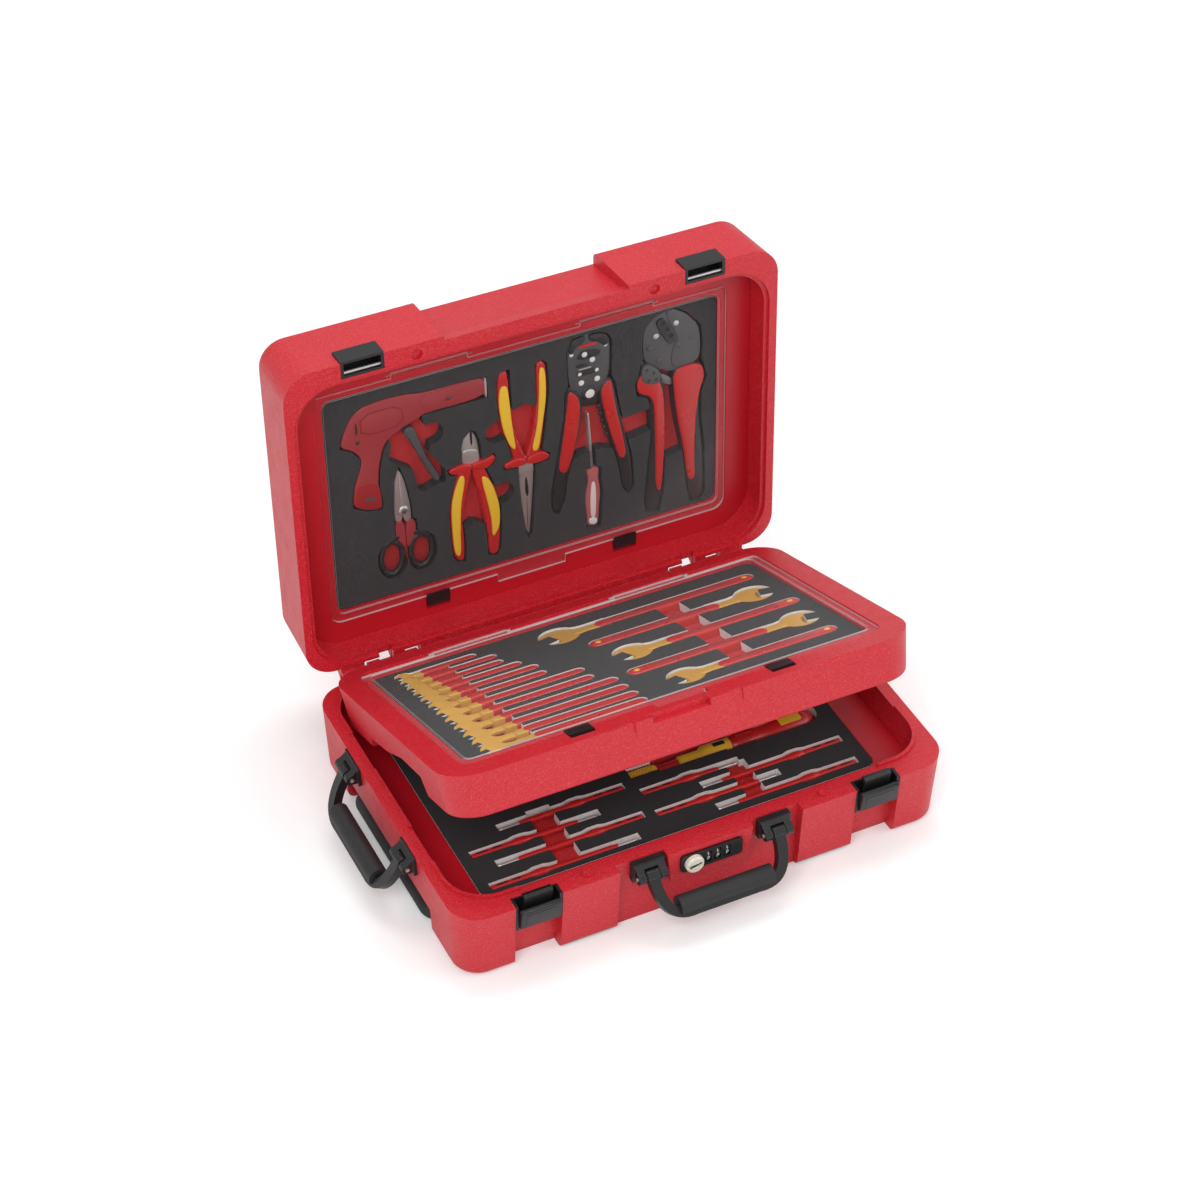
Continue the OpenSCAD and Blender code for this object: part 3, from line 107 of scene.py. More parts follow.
def mixColour(tree, mask, low, high, mode="MIX"):
    mix = tree.nodes.new("ShaderNodeMix")
    mix.data_type = "RGBA"
    mix.blend_type = mode
    for socket, value in ((mix.inputs[0], mask), (mix.inputs[6], low), (mix.inputs[7], high)):
        if isinstance(value, (int, float)):
            socket.default_value = value
        elif isinstance(value, tuple):
            socket.default_value = (*value, 1)
        else:
            tree.links.new(value, socket)
    return mix.outputs[2]


def addBump(tree, height, strength, depth):
    bump = tree.nodes.new("ShaderNodeBump")
    bump.inputs["Distance"].default_value = depth
    tree.links.new(strength, bump.inputs["Strength"])
    tree.links.new(height, bump.inputs["Height"])
    return bump.outputs["Normal"]


# how squarely a face looks along a direction, from 0 to 1
def addFacing(tree, coords, direction):
    facing = tree.nodes.new("ShaderNodeVectorMath")
    facing.operation = "DOT_PRODUCT"
    facing.inputs[1].default_value = direction
    tree.links.new(coords.outputs["Normal"], facing.inputs[0])
    return addMath(tree, "ABSOLUTE", facing.outputs["Value"], 0.0)


# mottled colour, painted glints (pale spots standing in for small highlights on the grain), uneven gloss and a fine
# moulded grain
mouldedSpec = {"shade": (0.72, 0.72, 0.72), "cloudScale": 14.0, "glintColour": (0.95, 0.55, 0.55), "glintScale": 760.0,
               "glintFrom": 0.52, "wearScale": 60.0, "wear": 0.22, "grainDepth": 0.0004}


def buildMoulded(spec):
    tree, enter, leave = newGroup("mouldedSurface", [
        ("Colour", "NodeSocketColor", (0.5, 0.5, 0.5, 1)), ("Mottle", "NodeSocketFloat", 0.1),
        ("Gloss", "NodeSocketFloat", 0.4), ("Grain", "NodeSocketFloat", 900.0),
        ("Relief", "NodeSocketFloat", 0.2), ("PaintedGlint", "NodeSocketFloat", 0.0)],
        [("Colour", "NodeSocketColor"), ("Roughness", "NodeSocketFloat"), ("Normal", "NodeSocketVector")])
    place = tree.nodes.new("ShaderNodeTexCoord").outputs["Object"]
    cloud = addNoise(tree, place, spec["cloudScale"], 4.0)
    dark = mixColour(tree, 1.0, enter.outputs["Colour"], spec["shade"], "MULTIPLY")
    mask = addMath(tree, "MULTIPLY", cloud, enter.outputs["Mottle"])
    base = mixColour(tree, mask, enter.outputs["Colour"], dark)
    # painted glints: pale spots where fine noise peaks, standing in for the small highlights on the grain and the
    # sparkle of the foam
    peaks = addMath(tree, "SUBTRACT", addNoise(tree, place, spec["glintScale"], 1.0), spec["glintFrom"])
    glintPeaks = addMath(tree, "MAXIMUM", peaks, 0.0)
    glintMask = addMath(tree, "MULTIPLY", glintPeaks, enter.outputs["PaintedGlint"])
    tree.links.new(mixColour(tree, glintMask, base, spec["glintColour"]), leave.inputs["Colour"])
    fine = addNoise(tree, place, spec["wearScale"], 4.0)
    spread = addMath(tree, "MULTIPLY", addMath(tree, "SUBTRACT", fine, 0.5), spec["wear"])
    tree.links.new(addMath(tree, "ADD", spread, enter.outputs["Gloss"]), leave.inputs["Roughness"])
    cells = tree.nodes.new("ShaderNodeTexVoronoi")
    cells.feature = "SMOOTH_F1"
    tree.links.new(place, cells.inputs["Vector"])
    tree.links.new(enter.outputs["Grain"], cells.inputs["Scale"])
    normal = addBump(tree, cells.outputs["Distance"], enter.outputs["Relief"], spec["grainDepth"])
    tree.links.new(normal, leave.inputs["Normal"])
    return tree


# brushing lines along one axis
brushedSpec = {"stretch": (60, 900, 900), "shade": (0.6, 0.6, 0.6), "smearScale": 35.0, "wear": 0.25,
               "lineDepth": 0.0001}


def buildBrushed(spec):
    tree, enter, leave = newGroup("brushedSurface", [
        ("Colour", "NodeSocketColor", (0.6, 0.6, 0.6, 1)), ("Gloss", "NodeSocketFloat", 0.3),
        ("Relief", "NodeSocketFloat", 0.15)],
        [("Colour", "NodeSocketColor"), ("Roughness", "NodeSocketFloat"), ("Normal", "NodeSocketVector")])
    place = tree.nodes.new("ShaderNodeTexCoord").outputs["Object"]
    stretch = tree.nodes.new("ShaderNodeMapping")
    stretch.inputs["Scale"].default_value = spec["stretch"]
    tree.links.new(place, stretch.inputs["Vector"])
    lines = addNoise(tree, stretch.outputs["Vector"], 1.0, 3.0)
    dull = mixColour(tree, 1.0, enter.outputs["Colour"], spec["shade"], "MULTIPLY")
    smear = addNoise(tree, place, spec["smearScale"], 3.0)
    tree.links.new(mixColour(tree, smear, enter.outputs["Colour"], dull), leave.inputs["Colour"])
    spread = addMath(tree, "MULTIPLY", lines, spec["wear"])
    tree.links.new(addMath(tree, "ADD", spread, enter.outputs["Gloss"]), leave.inputs["Roughness"])
    tree.links.new(addBump(tree, lines, enter.outputs["Relief"], spec["lineDepth"]), leave.inputs["Normal"])
    return tree


moulded = buildMoulded(mouldedSpec)
brushed = buildBrushed(brushedSpec)


def newMaterial(name, group, values, constants=None):
    material = bpy.data.materials.new(name)
    material.use_nodes = True
    tree = material.node_tree
    shader = tree.nodes["Principled BSDF"]
    surface = tree.nodes.new("ShaderNodeGroup")
    surface.node_tree = group
    for label, value in values.items():
        surface.inputs[label].default_value = (*value, 1) if isinstance(value, tuple) else value
    tree.links.new(surface.outputs["Colour"], shader.inputs["Base Color"])
    tree.links.new(surface.outputs["Roughness"], shader.inputs["Roughness"])
    tree.links.new(surface.outputs["Normal"], shader.inputs["Normal"])
    for label, value in (constants or {}).items():
        shader.inputs[label].default_value = value
    return material


# colour, mottle, gloss, grain and relief of each moulded finish
finishes = {
    "shellRed": ((0.58, 0.008, 0.020), 0.35, 0.42, 520.0, 1.0),
    "linerRed": ((0.50, 0.008, 0.018), 0.35, 0.36, 900.0, 0.12),
    "satinBlack": ((0.012, 0.012, 0.013), 0.3, 0.36, 900.0, 0.18),
    "gripRubber": ((0.016, 0.016, 0.017), 0.3, 0.62, 1400.0, 0.35),
    "darkFoam": ((0.026, 0.027, 0.029), 0.5, 0.85, 1500.0, 0.5),
    "redFoam": ((0.56, 0.014, 0.018), 0.4, 0.75, 1500.0, 0.6),
    "ivoryPlastic": ((0.70, 0.66, 0.55), 0.3, 0.3, 900.0, 0.1),
    "dipRed": ((0.55, 0.016, 0.016), 0.3, 0.3, 1100.0, 0.12),
    "dipDarkRed": ((0.33, 0.014, 0.018), 0.4, 0.42, 1100.0, 0.2),
    "dipYellow": ((0.85, 0.52, 0.035), 0.3, 0.32, 1100.0, 0.12),
    # the strong mottle of the ochre finish is painted shade: its random dark patches stand in for the shading seen
    # on the spanner heads
    "dipOchre": ((0.68, 0.36, 0.055), 0.7, 0.38, 900.0, 0.2),
    "toolBlack": ((0.02, 0.02, 0.021), 0.4, 0.4, 1000.0, 0.25),
    "toolGrey": ((0.075, 0.075, 0.08), 0.5, 0.38, 1000.0, 0.25),
    "gunRed": ((0.34, 0.036, 0.042), 0.35, 0.4, 1100.0, 0.2),
    # near black, used only as painted shade inside the crimper's die holes
    "holeShadeBlack": ((0.004, 0.004, 0.004), 0.2, 0.7, 1100.0, 0.1),
    "testerCore": ((0.80, 0.62, 0.60), 0.3, 0.25, 900.0, 0.05),
    "panelRed": ((0.25, 0.012, 0.016), 0.4, 0.4, 1100.0, 0.2),
    "whiteInk": ((0.72, 0.72, 0.70), 0.2, 0.5, 1100.0, 0.05),
}
paint = {}
# strength of the painted glints (small painted highlights) on each finish
glintStrengths = {"shellRed": 0.45, "darkFoam": 0.2, "redFoam": 0.4}
for name, (colour, mottle, gloss, grain, relief) in finishes.items():
    paint[name] = newMaterial(name, moulded, {
        "Colour": colour, "Mottle": mottle, "Gloss": gloss, "Grain": grain, "Relief": relief,
        "PaintedGlint": glintStrengths.get(name, 0.0)})
for name, colour, gloss in (("brightSteel", (0.80, 0.79, 0.77), 0.26), ("darkSteel", (0.26, 0.26, 0.26), 0.32)):
    paint[name] = newMaterial(name, brushed, {"Colour": colour, "Gloss": gloss}, {"Metallic": 0.8})


# a clear sheet: plain through its flat faces, brighter on its edges and bead, with a faint painted sheen at
# glancing angles
clearSpec = {"low": (0.80, 0.82, 0.83), "high": (0.94, 0.95, 0.95), "through": (0.985, 0.99, 0.99, 1),
             "ior": 1.45, "paintedSheen": 0.05, "edge": 0.5, "most": 0.6}


def makeClear(name, sheetNormal, spec):
    material = bpy.data.materials.new(name)
    material.use_nodes = True
    tree = material.node_tree
    shader = tree.nodes["Principled BSDF"]
    shader.inputs["Specular IOR Level"].default_value = 0.9
    coords = tree.nodes.new("ShaderNodeTexCoord")
    haze = addNoise(tree, coords.outputs["Object"], 25.0, 4.0)
    tree.links.new(addMath(tree, "ADD", addMath(tree, "MULTIPLY", haze, 0.12), 0.06), shader.inputs["Roughness"])
    tree.links.new(mixColour(tree, haze, spec["low"], spec["high"]), shader.inputs["Base Color"])
    edge = addMath(tree, "SUBTRACT", 1.0, addFacing(tree, coords, sheetNormal))
    # painted sheen: at glancing angles a little of the pale shader shows; its pale diffuse colour is painted, its
    # gloss is real
    glance = tree.nodes.new("ShaderNodeFresnel")
    glance.inputs["IOR"].default_value = spec["ior"]
    paintedSheen = addMath(tree, "MULTIPLY", glance.outputs[0], spec["paintedSheen"])
    cover = addMath(tree, "ADD", addMath(tree, "MULTIPLY", edge, spec["edge"]), paintedSheen)
    through = tree.nodes.new("ShaderNodeBsdfTransparent")
    through.inputs["Color"].default_value = spec["through"]
    mix = tree.nodes.new("ShaderNodeMixShader")
    tree.links.new(addMath(tree, "MINIMUM", cover, spec["most"]), mix.inputs[0])
    tree.links.new(through.outputs[0], mix.inputs[1])
    tree.links.new(shader.outputs[0], mix.inputs[2])
    tree.links.new(mix.outputs[0], tree.nodes["Material Output"].inputs["Surface"])
    return material


paint["clearTray"] = makeClear("clearTray", tuple(trayTurn.col[2][:3]), clearSpec)
paint["clearLid"] = makeClear("clearLid", tuple(lidTurn.col[2][:3]), clearSpec)
paint["testerPink"] = newMaterial("testerPink", moulded, {
    "Colour": (0.72, 0.20, 0.20), "Mottle": 0.4, "Gloss": 0.15, "Grain": 900.0, "Relief": 0.05},
    {"Transmission Weight": 0.35})


# foam whose cut walls are paler than its face: the pale walls are a painted highlight
def makeCutFoam(name, faceNormal, wallHighlight):
    colour, mottle, gloss, grain, relief = finishes["darkFoam"]
    material = newMaterial(name, moulded, {
        "Colour": colour, "Mottle": mottle, "Gloss": gloss, "Grain": grain, "Relief": relief})
    tree = material.node_tree
    shader = tree.nodes["Principled BSDF"]
    surface = shader.inputs["Base Color"].links[0].from_node
    coords = tree.nodes.new("ShaderNodeTexCoord")
    # painted highlight: faces steeper than the foam's face take a pale colour, darker in noisy patches
    steep = addMath(tree, "LESS_THAN", addFacing(tree, coords, faceNormal), 0.5)
    paintedWallHighlight = mixColour(tree, addNoise(tree, coords.outputs["Object"], 300.0), wallHighlight,
                     tuple(0.7 * c for c in wallHighlight))
    tree.links.new(mixColour(tree, steep, surface.outputs["Colour"], paintedWallHighlight), shader.inputs["Base Color"])
    return material


paint["trayFoamWallHighlight"] = makeCutFoam("trayFoamWallHighlight", tuple(trayTurn.col[2][:3]), (0.90, 0.89, 0.87))
paint["baseFoamWallHighlight"] = makeCutFoam("baseFoamWallHighlight", (0, 0, 1), (0.93, 0.92, 0.90))

nodeFinish = {
    "shellRed": ["base_shell", "lid_shell", "tray_shell"],
    "linerRed": ["base_liner", "lid_liner"],
    "darkFoam": ["lid_foam"],
    "trayFoamWallHighlight": ["tray_foam"],
    "baseFoamWallHighlight": ["base_foam"],
    "redFoam": ["base_foam_red", "tray_foam_red", "lid_foam_red"],
    "satinBlack": ["latch_frames", "latch_left", "latch_right", "lock_plate", "lock_bolt", "lid_hoods",
                   "front_brackets", "side_brackets", "front_handle", "side_handle", "tube_guides",
                   "dial_1", "dial_2", "dial_3", "tray_clip_left", "tray_clip_right",
                   "lid_clip_left", "lid_clip_right"],
    "gripRubber": ["front_grip", "side_grip", "pull_grip", "wheel_front", "wheel_rear"],
    "brightSteel": ["hinge_pins", "latch_pins", "latch_bars", "lock_axle", "front_pins", "side_pins",
                    "wheel_axles", "pull_tubes", "scissors"],
    "darkSteel": ["tie_gun_trigger", "driver_blades"],
    "ivoryPlastic": ["lock_knob"],
    "dipRed": ["torque_handle", "voltage_tester", "side_cutters", "long_nose_pliers", "large_spanners"],
    "dipDarkRed": ["tie_gun"],
    "dipOchre": ["small_spanners"],
    "toolGrey": ["wire_stripper", "crimping_pliers"],
    "clearTray": ["tray_cover"],
    "clearLid": ["lid_cover"],
}
for finish, names in nodeFinish.items():
    for name in names:
        node = nodes[name]
        node.data.materials.clear()
        node.data.materials.append(paint[finish])
print("finishes on", sum(len(names) for names in nodeFinish.values()), "nodes")

# outlines of the flat pieces, in millimetres: x and distance from the hinge line

def curvePoint(points, t):
    work = [Vector(p) for p in points]
    while len(work) > 1:
        work = [a.lerp(b, t) for a, b in zip(work, work[1:])]
    return work[0]


def widthAt(widths, t):
    place = t * (len(widths) - 1)
    index = min(int(place), len(widths) - 2)
    return widths[index] + (widths[index + 1] - widths[index]) * (place - index)


def limbOutline(points, widths, steps=16, capSteps=6):
    centre = [curvePoint(points, i / steps) for i in range(steps + 1)]
    left, right = [], []
    for i, point in enumerate(centre):
        along = centre[min(i + 1, steps)] - centre[max(i - 1, 0)]
        side = Vector((-along.y, along.x)).normalized() * widthAt(widths, i / steps) / 2
        left.append(point + side)
        right.append(point - side)
    outline = []
    for edge, middle in ((left, centre[-1]), (right[::-1], centre[0])):
        outline += edge
        spoke = edge[-1] - middle
        for k in range(1, capSteps):
            turn = -pi * k / capSteps
            outline.append(middle + Vector((spoke.x * cos(turn) - spoke.y * sin(turn),
                                            spoke.x * sin(turn) + spoke.y * cos(turn))))
    return outline


def discOutline(centre, radius, steps=24):
    return [Vector(centre) + radius * Vector((cos(2 * pi * i / steps), sin(2 * pi * i / steps)))
            for i in range(steps)]


def slabOutline(centre, width, height, corner, turn=0.0):
    outline = []
    for cx, cy, start in ((1, 1, 0), (-1, 1, 90), (-1, -1, 180), (1, -1, 270)):
        for k in range(5):
            angle = radians(start + k * 22.5)
            outline.append(Vector((cx * (width / 2 - corner) + corner * cos(angle),
                                   cy * (height / 2 - corner) + corner * sin(angle))))
    spin = Matrix.Rotation(radians(turn), 2)
    return [Vector(centre) + spin @ point for point in outline]


def addPiece(name, mesh, body, finish, smooth=True):
    piece = bpy.data.objects.new(name, mesh)
    bpy.context.collection.objects.link(piece)
    mesh.materials.clear()
    mesh.materials.append(paint[finish])
    if smooth:
        mesh.shade_smooth()
        mesh.set_sharp_from_angle(angle=radians(42))
    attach(piece, body)
    return piece


def pieceFrom(bm, name, place, finish, body):
    bmesh.ops.recalc_face_normals(bm, faces=bm.faces)
    bmesh.ops.transform(bm, matrix=place, verts=bm.verts)
    mesh = bpy.data.meshes.new(name)
    bm.to_mesh(mesh)
    bm.free()
    return addPiece(name, mesh, body, finish)


# a plate from an outline, with its upper edge rounded
def block(name, outline, low, high, soft, place, finish, body, plan=-1):
    bm = bmesh.new()
    ring = [bm.verts.new((p.x / 1000, plan * p.y / 1000, low / 1000)) for p in outline]
    base = bm.faces.new(ring)
    raised = bmesh.ops.extrude_face_region(bm, geom=[base])["geom"]
    top = [g for g in raised if isinstance(g, bmesh.types.BMVert)]
    bmesh.ops.translate(bm, verts=top, vec=(0, 0, (high - low) / 1000))
    rim = [e for e in bm.edges if all(abs(v.co.z - high / 1000) < 1e-7 for v in e.verts)]
    if soft > 0:
        bmesh.ops.bevel(bm, geom=rim, offset=soft / 1000, segments=4, profile=0.5, affect="EDGES",
                        clamp_overlap=True)
    return pieceFrom(bm, name, place, finish, body)


# a turned piece from (distance along, radius) pairs; its axis is the place's X axis
def turned(name, profile, place, finish, body, steps=32):
    bm = bmesh.new()
    rings = []
    for along, radius in profile:
        rings.append([bm.verts.new((along / 1000, radius * cos(2 * pi * k / steps) / 1000,
                                    radius * sin(2 * pi * k / steps) / 1000)) for k in range(steps)])
    for a, b in zip(rings, rings[1:]):
        for k in range(steps):
            bm.faces.new((a[k], a[(k + 1) % steps], b[(k + 1) % steps], b[k]))
    bm.faces.new(rings[0][::-1])
    bm.faces.new(rings[-1])
    return pieceFrom(bm, name, place, finish, body)


def ringPiece(name, centre, level, radii, thick, place, finish, body, plan=-1):
    bm = bmesh.new()
    rings = []
    for i in range(32):
        a = 2 * pi * i / 32
        middle = Vector((centre[0] + radii[0] * cos(a), plan * (centre[1] + radii[1] * sin(a)), level))
        out = Vector((cos(a), plan * sin(a), 0))
        rings.append([bm.verts.new((middle + out * thick * cos(2 * pi * k / 12)
                                    + Vector((0, 0, thick * sin(2 * pi * k / 12)))) / 1000)
                      for k in range(12)])
    for a, b in zip(rings, rings[1:] + rings[:1]):
        for k in range(12):
            bm.faces.new((a[k], a[(k + 1) % 12], b[(k + 1) % 12], b[k]))
    return pieceFrom(bm, name, place, finish, body)


# small parts that repeat, made with geometry nodes

def newGeometryGroup(name, inputs):
    tree = bpy.data.node_groups.new(name, "GeometryNodeTree")
    for label, kind, value in inputs:
        socket = tree.interface.new_socket(label, in_out="INPUT", socket_type=kind)
        if value is not None:
            socket.default_value = value
    tree.interface.new_socket("Mesh", in_out="OUTPUT", socket_type="NodeSocketGeometry")
    return tree, tree.nodes.new("NodeGroupInput"), tree.nodes.new("NodeGroupOutput")


def finishGeometry(tree, enter, leave, points, shape, scale=None):
    spread = tree.nodes.new("GeometryNodeInstanceOnPoints")
    tree.links.new(points, spread.inputs["Points"])
    tree.links.new(shape, spread.inputs["Instance"])
    if scale is not None:
        tree.links.new(scale, spread.inputs["Scale"])
    whole = tree.nodes.new("GeometryNodeRealizeInstances")
    tree.links.new(spread.outputs["Instances"], whole.inputs["Geometry"])
    dress = tree.nodes.new("GeometryNodeSetMaterial")
    tree.links.new(whole.outputs["Geometry"], dress.inputs["Geometry"])
    tree.links.new(enter.outputs["Material"], dress.inputs["Material"])
    tree.links.new(dress.outputs["Geometry"], leave.inputs["Mesh"])


# rods that stand parallel to one axis in a ring round it
def buildRodRing():
    tree, enter, leave = newGeometryGroup("rodRing", [
        ("Count", "NodeSocketInt", 12), ("Ring radius", "NodeSocketFloat", 0.01),
        ("Rod radius", "NodeSocketFloat", 0.001), ("Rod length", "NodeSocketFloat", 0.01),
        ("Material", "NodeSocketMaterial", None)])
    ring = tree.nodes.new("GeometryNodeMeshCircle")
    tree.links.new(enter.outputs["Count"], ring.inputs["Vertices"])
    tree.links.new(enter.outputs["Ring radius"], ring.inputs["Radius"])
    rod = tree.nodes.new("GeometryNodeMeshCylinder")
    rod.inputs["Vertices"].default_value = 10
    tree.links.new(enter.outputs["Rod radius"], rod.inputs["Radius"])
    tree.links.new(enter.outputs["Rod length"], rod.inputs["Depth"])
    finishGeometry(tree, enter, leave, ring.outputs["Mesh"], rod.outputs["Mesh"])
    return tree


# low domes on given points: rivets, screws and spots
def buildDomes():
    tree, enter, leave = newGeometryGroup("domes", [
        ("Points", "NodeSocketGeometry", None), ("Radius", "NodeSocketFloat", 0.002),
        ("Flatness", "NodeSocketFloat", 0.5), ("Material", "NodeSocketMaterial", None)])
    ball = tree.nodes.new("GeometryNodeMeshUVSphere")
    ball.inputs["Segments"].default_value = 20
    ball.inputs["Rings"].default_value = 10
    tree.links.new(enter.outputs["Radius"], ball.inputs["Radius"])
    shape = tree.nodes.new("ShaderNodeCombineXYZ")
    shape.inputs[0].default_value = 1.0
    shape.inputs[1].default_value = 1.0
    tree.links.new(enter.outputs["Flatness"], shape.inputs[2])
    finishGeometry(tree, enter, leave, enter.outputs["Points"], ball.outputs["Mesh"], shape.outputs[0])
    return tree


rodRing = buildRodRing()
domes = buildDomes()


def meshOf(holder):
    bpy.context.view_layer.update()
    return bpy.data.meshes.new_from_object(holder.evaluated_get(bpy.context.evaluated_depsgraph_get()))


def fromGroup(name, tree, values, points, place, finish, body):
    seedMesh = bpy.data.meshes.new(name + "Seed")
    seedMesh.from_pydata(points, [], [])
    holder = bpy.data.objects.new(name + "Seed", seedMesh)
    bpy.context.collection.objects.link(holder)
    maker = holder.modifiers.new("maker", "NODES")
    maker.node_group = tree
    sockets = {item.name: item.identifier for item in tree.interface.items_tree
               if item.item_type == "SOCKET" and item.in_out == "INPUT"}
    for label, value in {**values, "Material": paint[finish]}.items():
        maker[sockets[label]] = value
    made = meshOf(holder)
    holder.modifiers.remove(maker)
    bpy.data.objects.remove(holder)
    made.transform(place)
    return addPiece(name, made, body, finish)


def domesOn(name, outline, level, radius, flatness, place, finish, body):
    points = [(x / 1000, -y / 1000, level / 1000) for x, y in outline]
    return fromGroup(name, domes, {"Radius": radius / 1000, "Flatness": flatness}, points, place, finish, body)


# lid tools lie on the foam's floor and their faces look towards the lid's mouth
lidFloor = 48.7


def lidBlock(name, outline, high, soft, finish, lift=0.0):
    return block(name, outline, lidFloor - lift, lidFloor - high, soft, lidTurn, finish, "lid")


def shaped(points, rounds=2):
    outline = [Vector(p) for p in points]
    for _ in range(rounds):
        cut = []
        for a, b in zip(outline, outline[1:] + outline[:1]):
            cut += [a.lerp(b, 0.22), a.lerp(b, 0.78)]
        outline = cut
    return outline


# every plate: label, corner points, height over the foam's floor, rounding, finish
def makeTool(tool, spec):
    for index, (label, points, high, soft, finish) in enumerate(spec["plates"]):
        plate = lidBlock(tool + label, shaped(points, 1 if soft < 0.5 else 2), high, soft, finish)
        if index == 0:
            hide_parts(spec["node"])
    for label, points, level, radius, flatness, finish in spec.get("domes", []):
        domesOn(tool + label, points, lidFloor - level, radius, flatness, lidTurn, finish, "lid")
    for label, points, widths, high, soft, finish in spec.get("limbs", []):
        lidBlock(tool + label, limbOutline(points, widths), high, soft, finish)


tieGun = {
    "node": "tie_gun",
    "plates": [
        ("Frame", [(-41, 279), (-64, 280.5), (-107, 281), (-125, 285), (-148, 286), (-170, 284), (-182, 276),
                   (-192, 257), (-195, 243.5), (-183, 237), (-174, 225), (-176, 213), (-182.5, 197),
                   (-186, 180), (-185, 170.5), (-173.5, 164), (-158, 160.5), (-155.7, 166), (-158.5, 186),
                   (-157, 207), (-151.5, 230), (-145.5, 239), (-133, 246), (-119, 251), (-111.5, 253),
                   (-108, 257), (-40, 256.5)], 11.6, 1.6, "gunRed"),
        ("Cap", [(-180.5, 198), (-158, 193), (-155.9, 166), (-158, 160.8), (-173.5, 164.3), (-184.8, 170.8),
                 (-185.8, 180)], 12.5, 1.0, "dipDarkRed"),
        ("Barrel", [(-108, 280), (-41, 278.6), (-40.5, 257.2), (-108, 257.8)], 12.4, 0.9, "gunRed"),
        ("BarrelEnd", [(-42.5, 279), (-40.4, 279), (-40.2, 256.8), (-42.3, 256.8)], 12.9, 0.3, "brightSteel"),
        ("PanelEdge", [(-174, 275), (-129.4, 275.6), (-128.2, 250.8), (-173, 249.8)], 12.0, 0.2, "panelRed"),
        ("Panel", [(-172.8, 274), (-130.5, 274.6), (-129.4, 251.8), (-171.8, 250.9)], 12.3, 0.3, "gunRed"),
        # the slot is a black strip on the frame: painted shade for the inside of the slot
        ("Slot", [(-178.8, 267), (-176.8, 267), (-176.6, 254), (-178.6, 254)], 12.1, 0.1, "toolBlack"),
        ("Slider", [(-174, 179), (-162, 177), (-162.6, 173), (-174.4, 175)], 12.8, 0.3, "toolGrey")],
    "domes": [("Screw", [(-81, 268)], 12.2, 3.6, 0.2, "panelRed"),
              ("ScrewHead", [(-81, 268)], 12.4, 2.2, 0.3, "toolGrey"),
              ("Pins", [(-177, 245), (-179, 186)], 11.9, 2.0, 0.3, "toolBlack")]}
lever = {"points": [(-122, 239), (-116, 226), (-110, 205), (-96, 176)], "width": [11, 8.5, 6.5, 7],
         "high": 9.8, "soft": 2}

scissors = {
    "node": "scissors",
    "plates": [
        ("BladeLeft", [(-136.6, 200.5), (-141, 187), (-143.3, 151), (-142.3, 136), (-134.3, 136), (-132.8, 170),
                       (-133.6, 188)], 8.6, 0.9, "brightSteel"),
        ("BladeRight", [(-136.4, 200.2), (-131.2, 187.5), (-128.2, 168.5), (-125.9, 153), (-125.7, 135),
                        (-134, 135), (-135.6, 171)], 9.6, 0.9, "brightSteel"),
        ("ArmLeft", [(-143.4, 138), (-133.4, 137), (-133.2, 103), (-137, 108), (-144, 120)], 10.6, 1.8, "gunRed"),
        ("ArmRight", [(-132.4, 137), (-122.6, 136.6), (-121.4, 122), (-128, 108), (-132.4, 103)], 10.6, 1.8,
         "gunRed")],
    "domes": [("Pivot", [(-133.4, 149)], 9.6, 5.6, 0.3, "brightSteel"),
              ("Screw", [(-133.4, 149)], 10.6, 3.4, 0.3, "darkSteel")],
    "limbs": [("NeckLeft", [(-142, 119), (-149, 117), (-155, 112)], [7, 7], 10.8, 2.4, "toolBlack"),
              ("NeckRight", [(-123, 119), (-116, 117), (-110, 112)], [7, 7], 10.8, 2.4, "toolBlack")],
    "rings": [(-148.7, 95.3), (-116.7, 95.3)], "radii": (11.5, 19.7), "thick": 3.1, "ringHigh": 7.8}

sideCutters = {
    "node": "side_cutters",
    "plates": [
        ("Head", [(-58.5, 220.6), (-65.6, 214), (-68.8, 203.5), (-69.2, 178), (-49.4, 174), (-49.2, 197),
                  (-50.9, 209), (-55.5, 218.8)], 8.6, 1.8, "brightSteel"),
        ("Joint", [(-68.6, 200), (-49.6, 196), (-49.8, 178), (-68.8, 182)], 9.6, 0.8, "brightSteel"),
        ("Bite", [(-57.2, 221), (-56.4, 218), (-56.6, 203), (-58.4, 203), (-59.2, 218)], 9.2, 0.1, "toolBlack"),
        ("ArmLeft", [(-73.5, 177), (-80.3, 156), (-84.5, 136), (-85, 110), (-83.5, 78), (-78, 68), (-71, 67),
                     (-70, 94), (-72, 118), (-68, 140), (-58.9, 172), (-59.2, 181)], 10.8, 2.6, "dipRed"),
        ("SkinLeft", [(-71.8, 173), (-78.3, 157.7), (-83.2, 139), (-83.6, 110), (-82, 78), (-75.2, 73.5),
                      (-74.6, 107), (-72.8, 138), (-66.4, 168)], 12.3, 1.6, "dipYellow"),
        ("ArmRight", [(-58.6, 181), (-46.5, 176), (-36.7, 150), (-30.6, 125), (-30.5, 98), (-32.7, 69),
                      (-37, 63.5), (-44.4, 66), (-45.2, 88), (-46.9, 109), (-49.2, 131), (-58.7, 172)], 11.2, 2.6,
         "dipRed"),
        ("SkinRight", [(-50.6, 165), (-42.3, 161), (-35.6, 144), (-31, 122), (-31.7, 98), (-40.5, 84.6),
                       (-40.4, 107), (-43.6, 129)], 12.6, 1.6, "dipYellow"),
        ("GuardLeft", [(-84.3, 182.8), (-71.2, 185.5), (-58.9, 182), (-58.9, 176.5), (-71.7, 173.4),
                       (-83, 177.2)], 12.9, 1.5, "dipRed"),
        ("GuardRight", [(-58.7, 182), (-47, 183), (-36, 186.8), (-33.7, 182.5), (-37.5, 176.2), (-47.5, 171.8),
                        (-58.7, 176.5)], 13.2, 1.5, "dipRed")]}

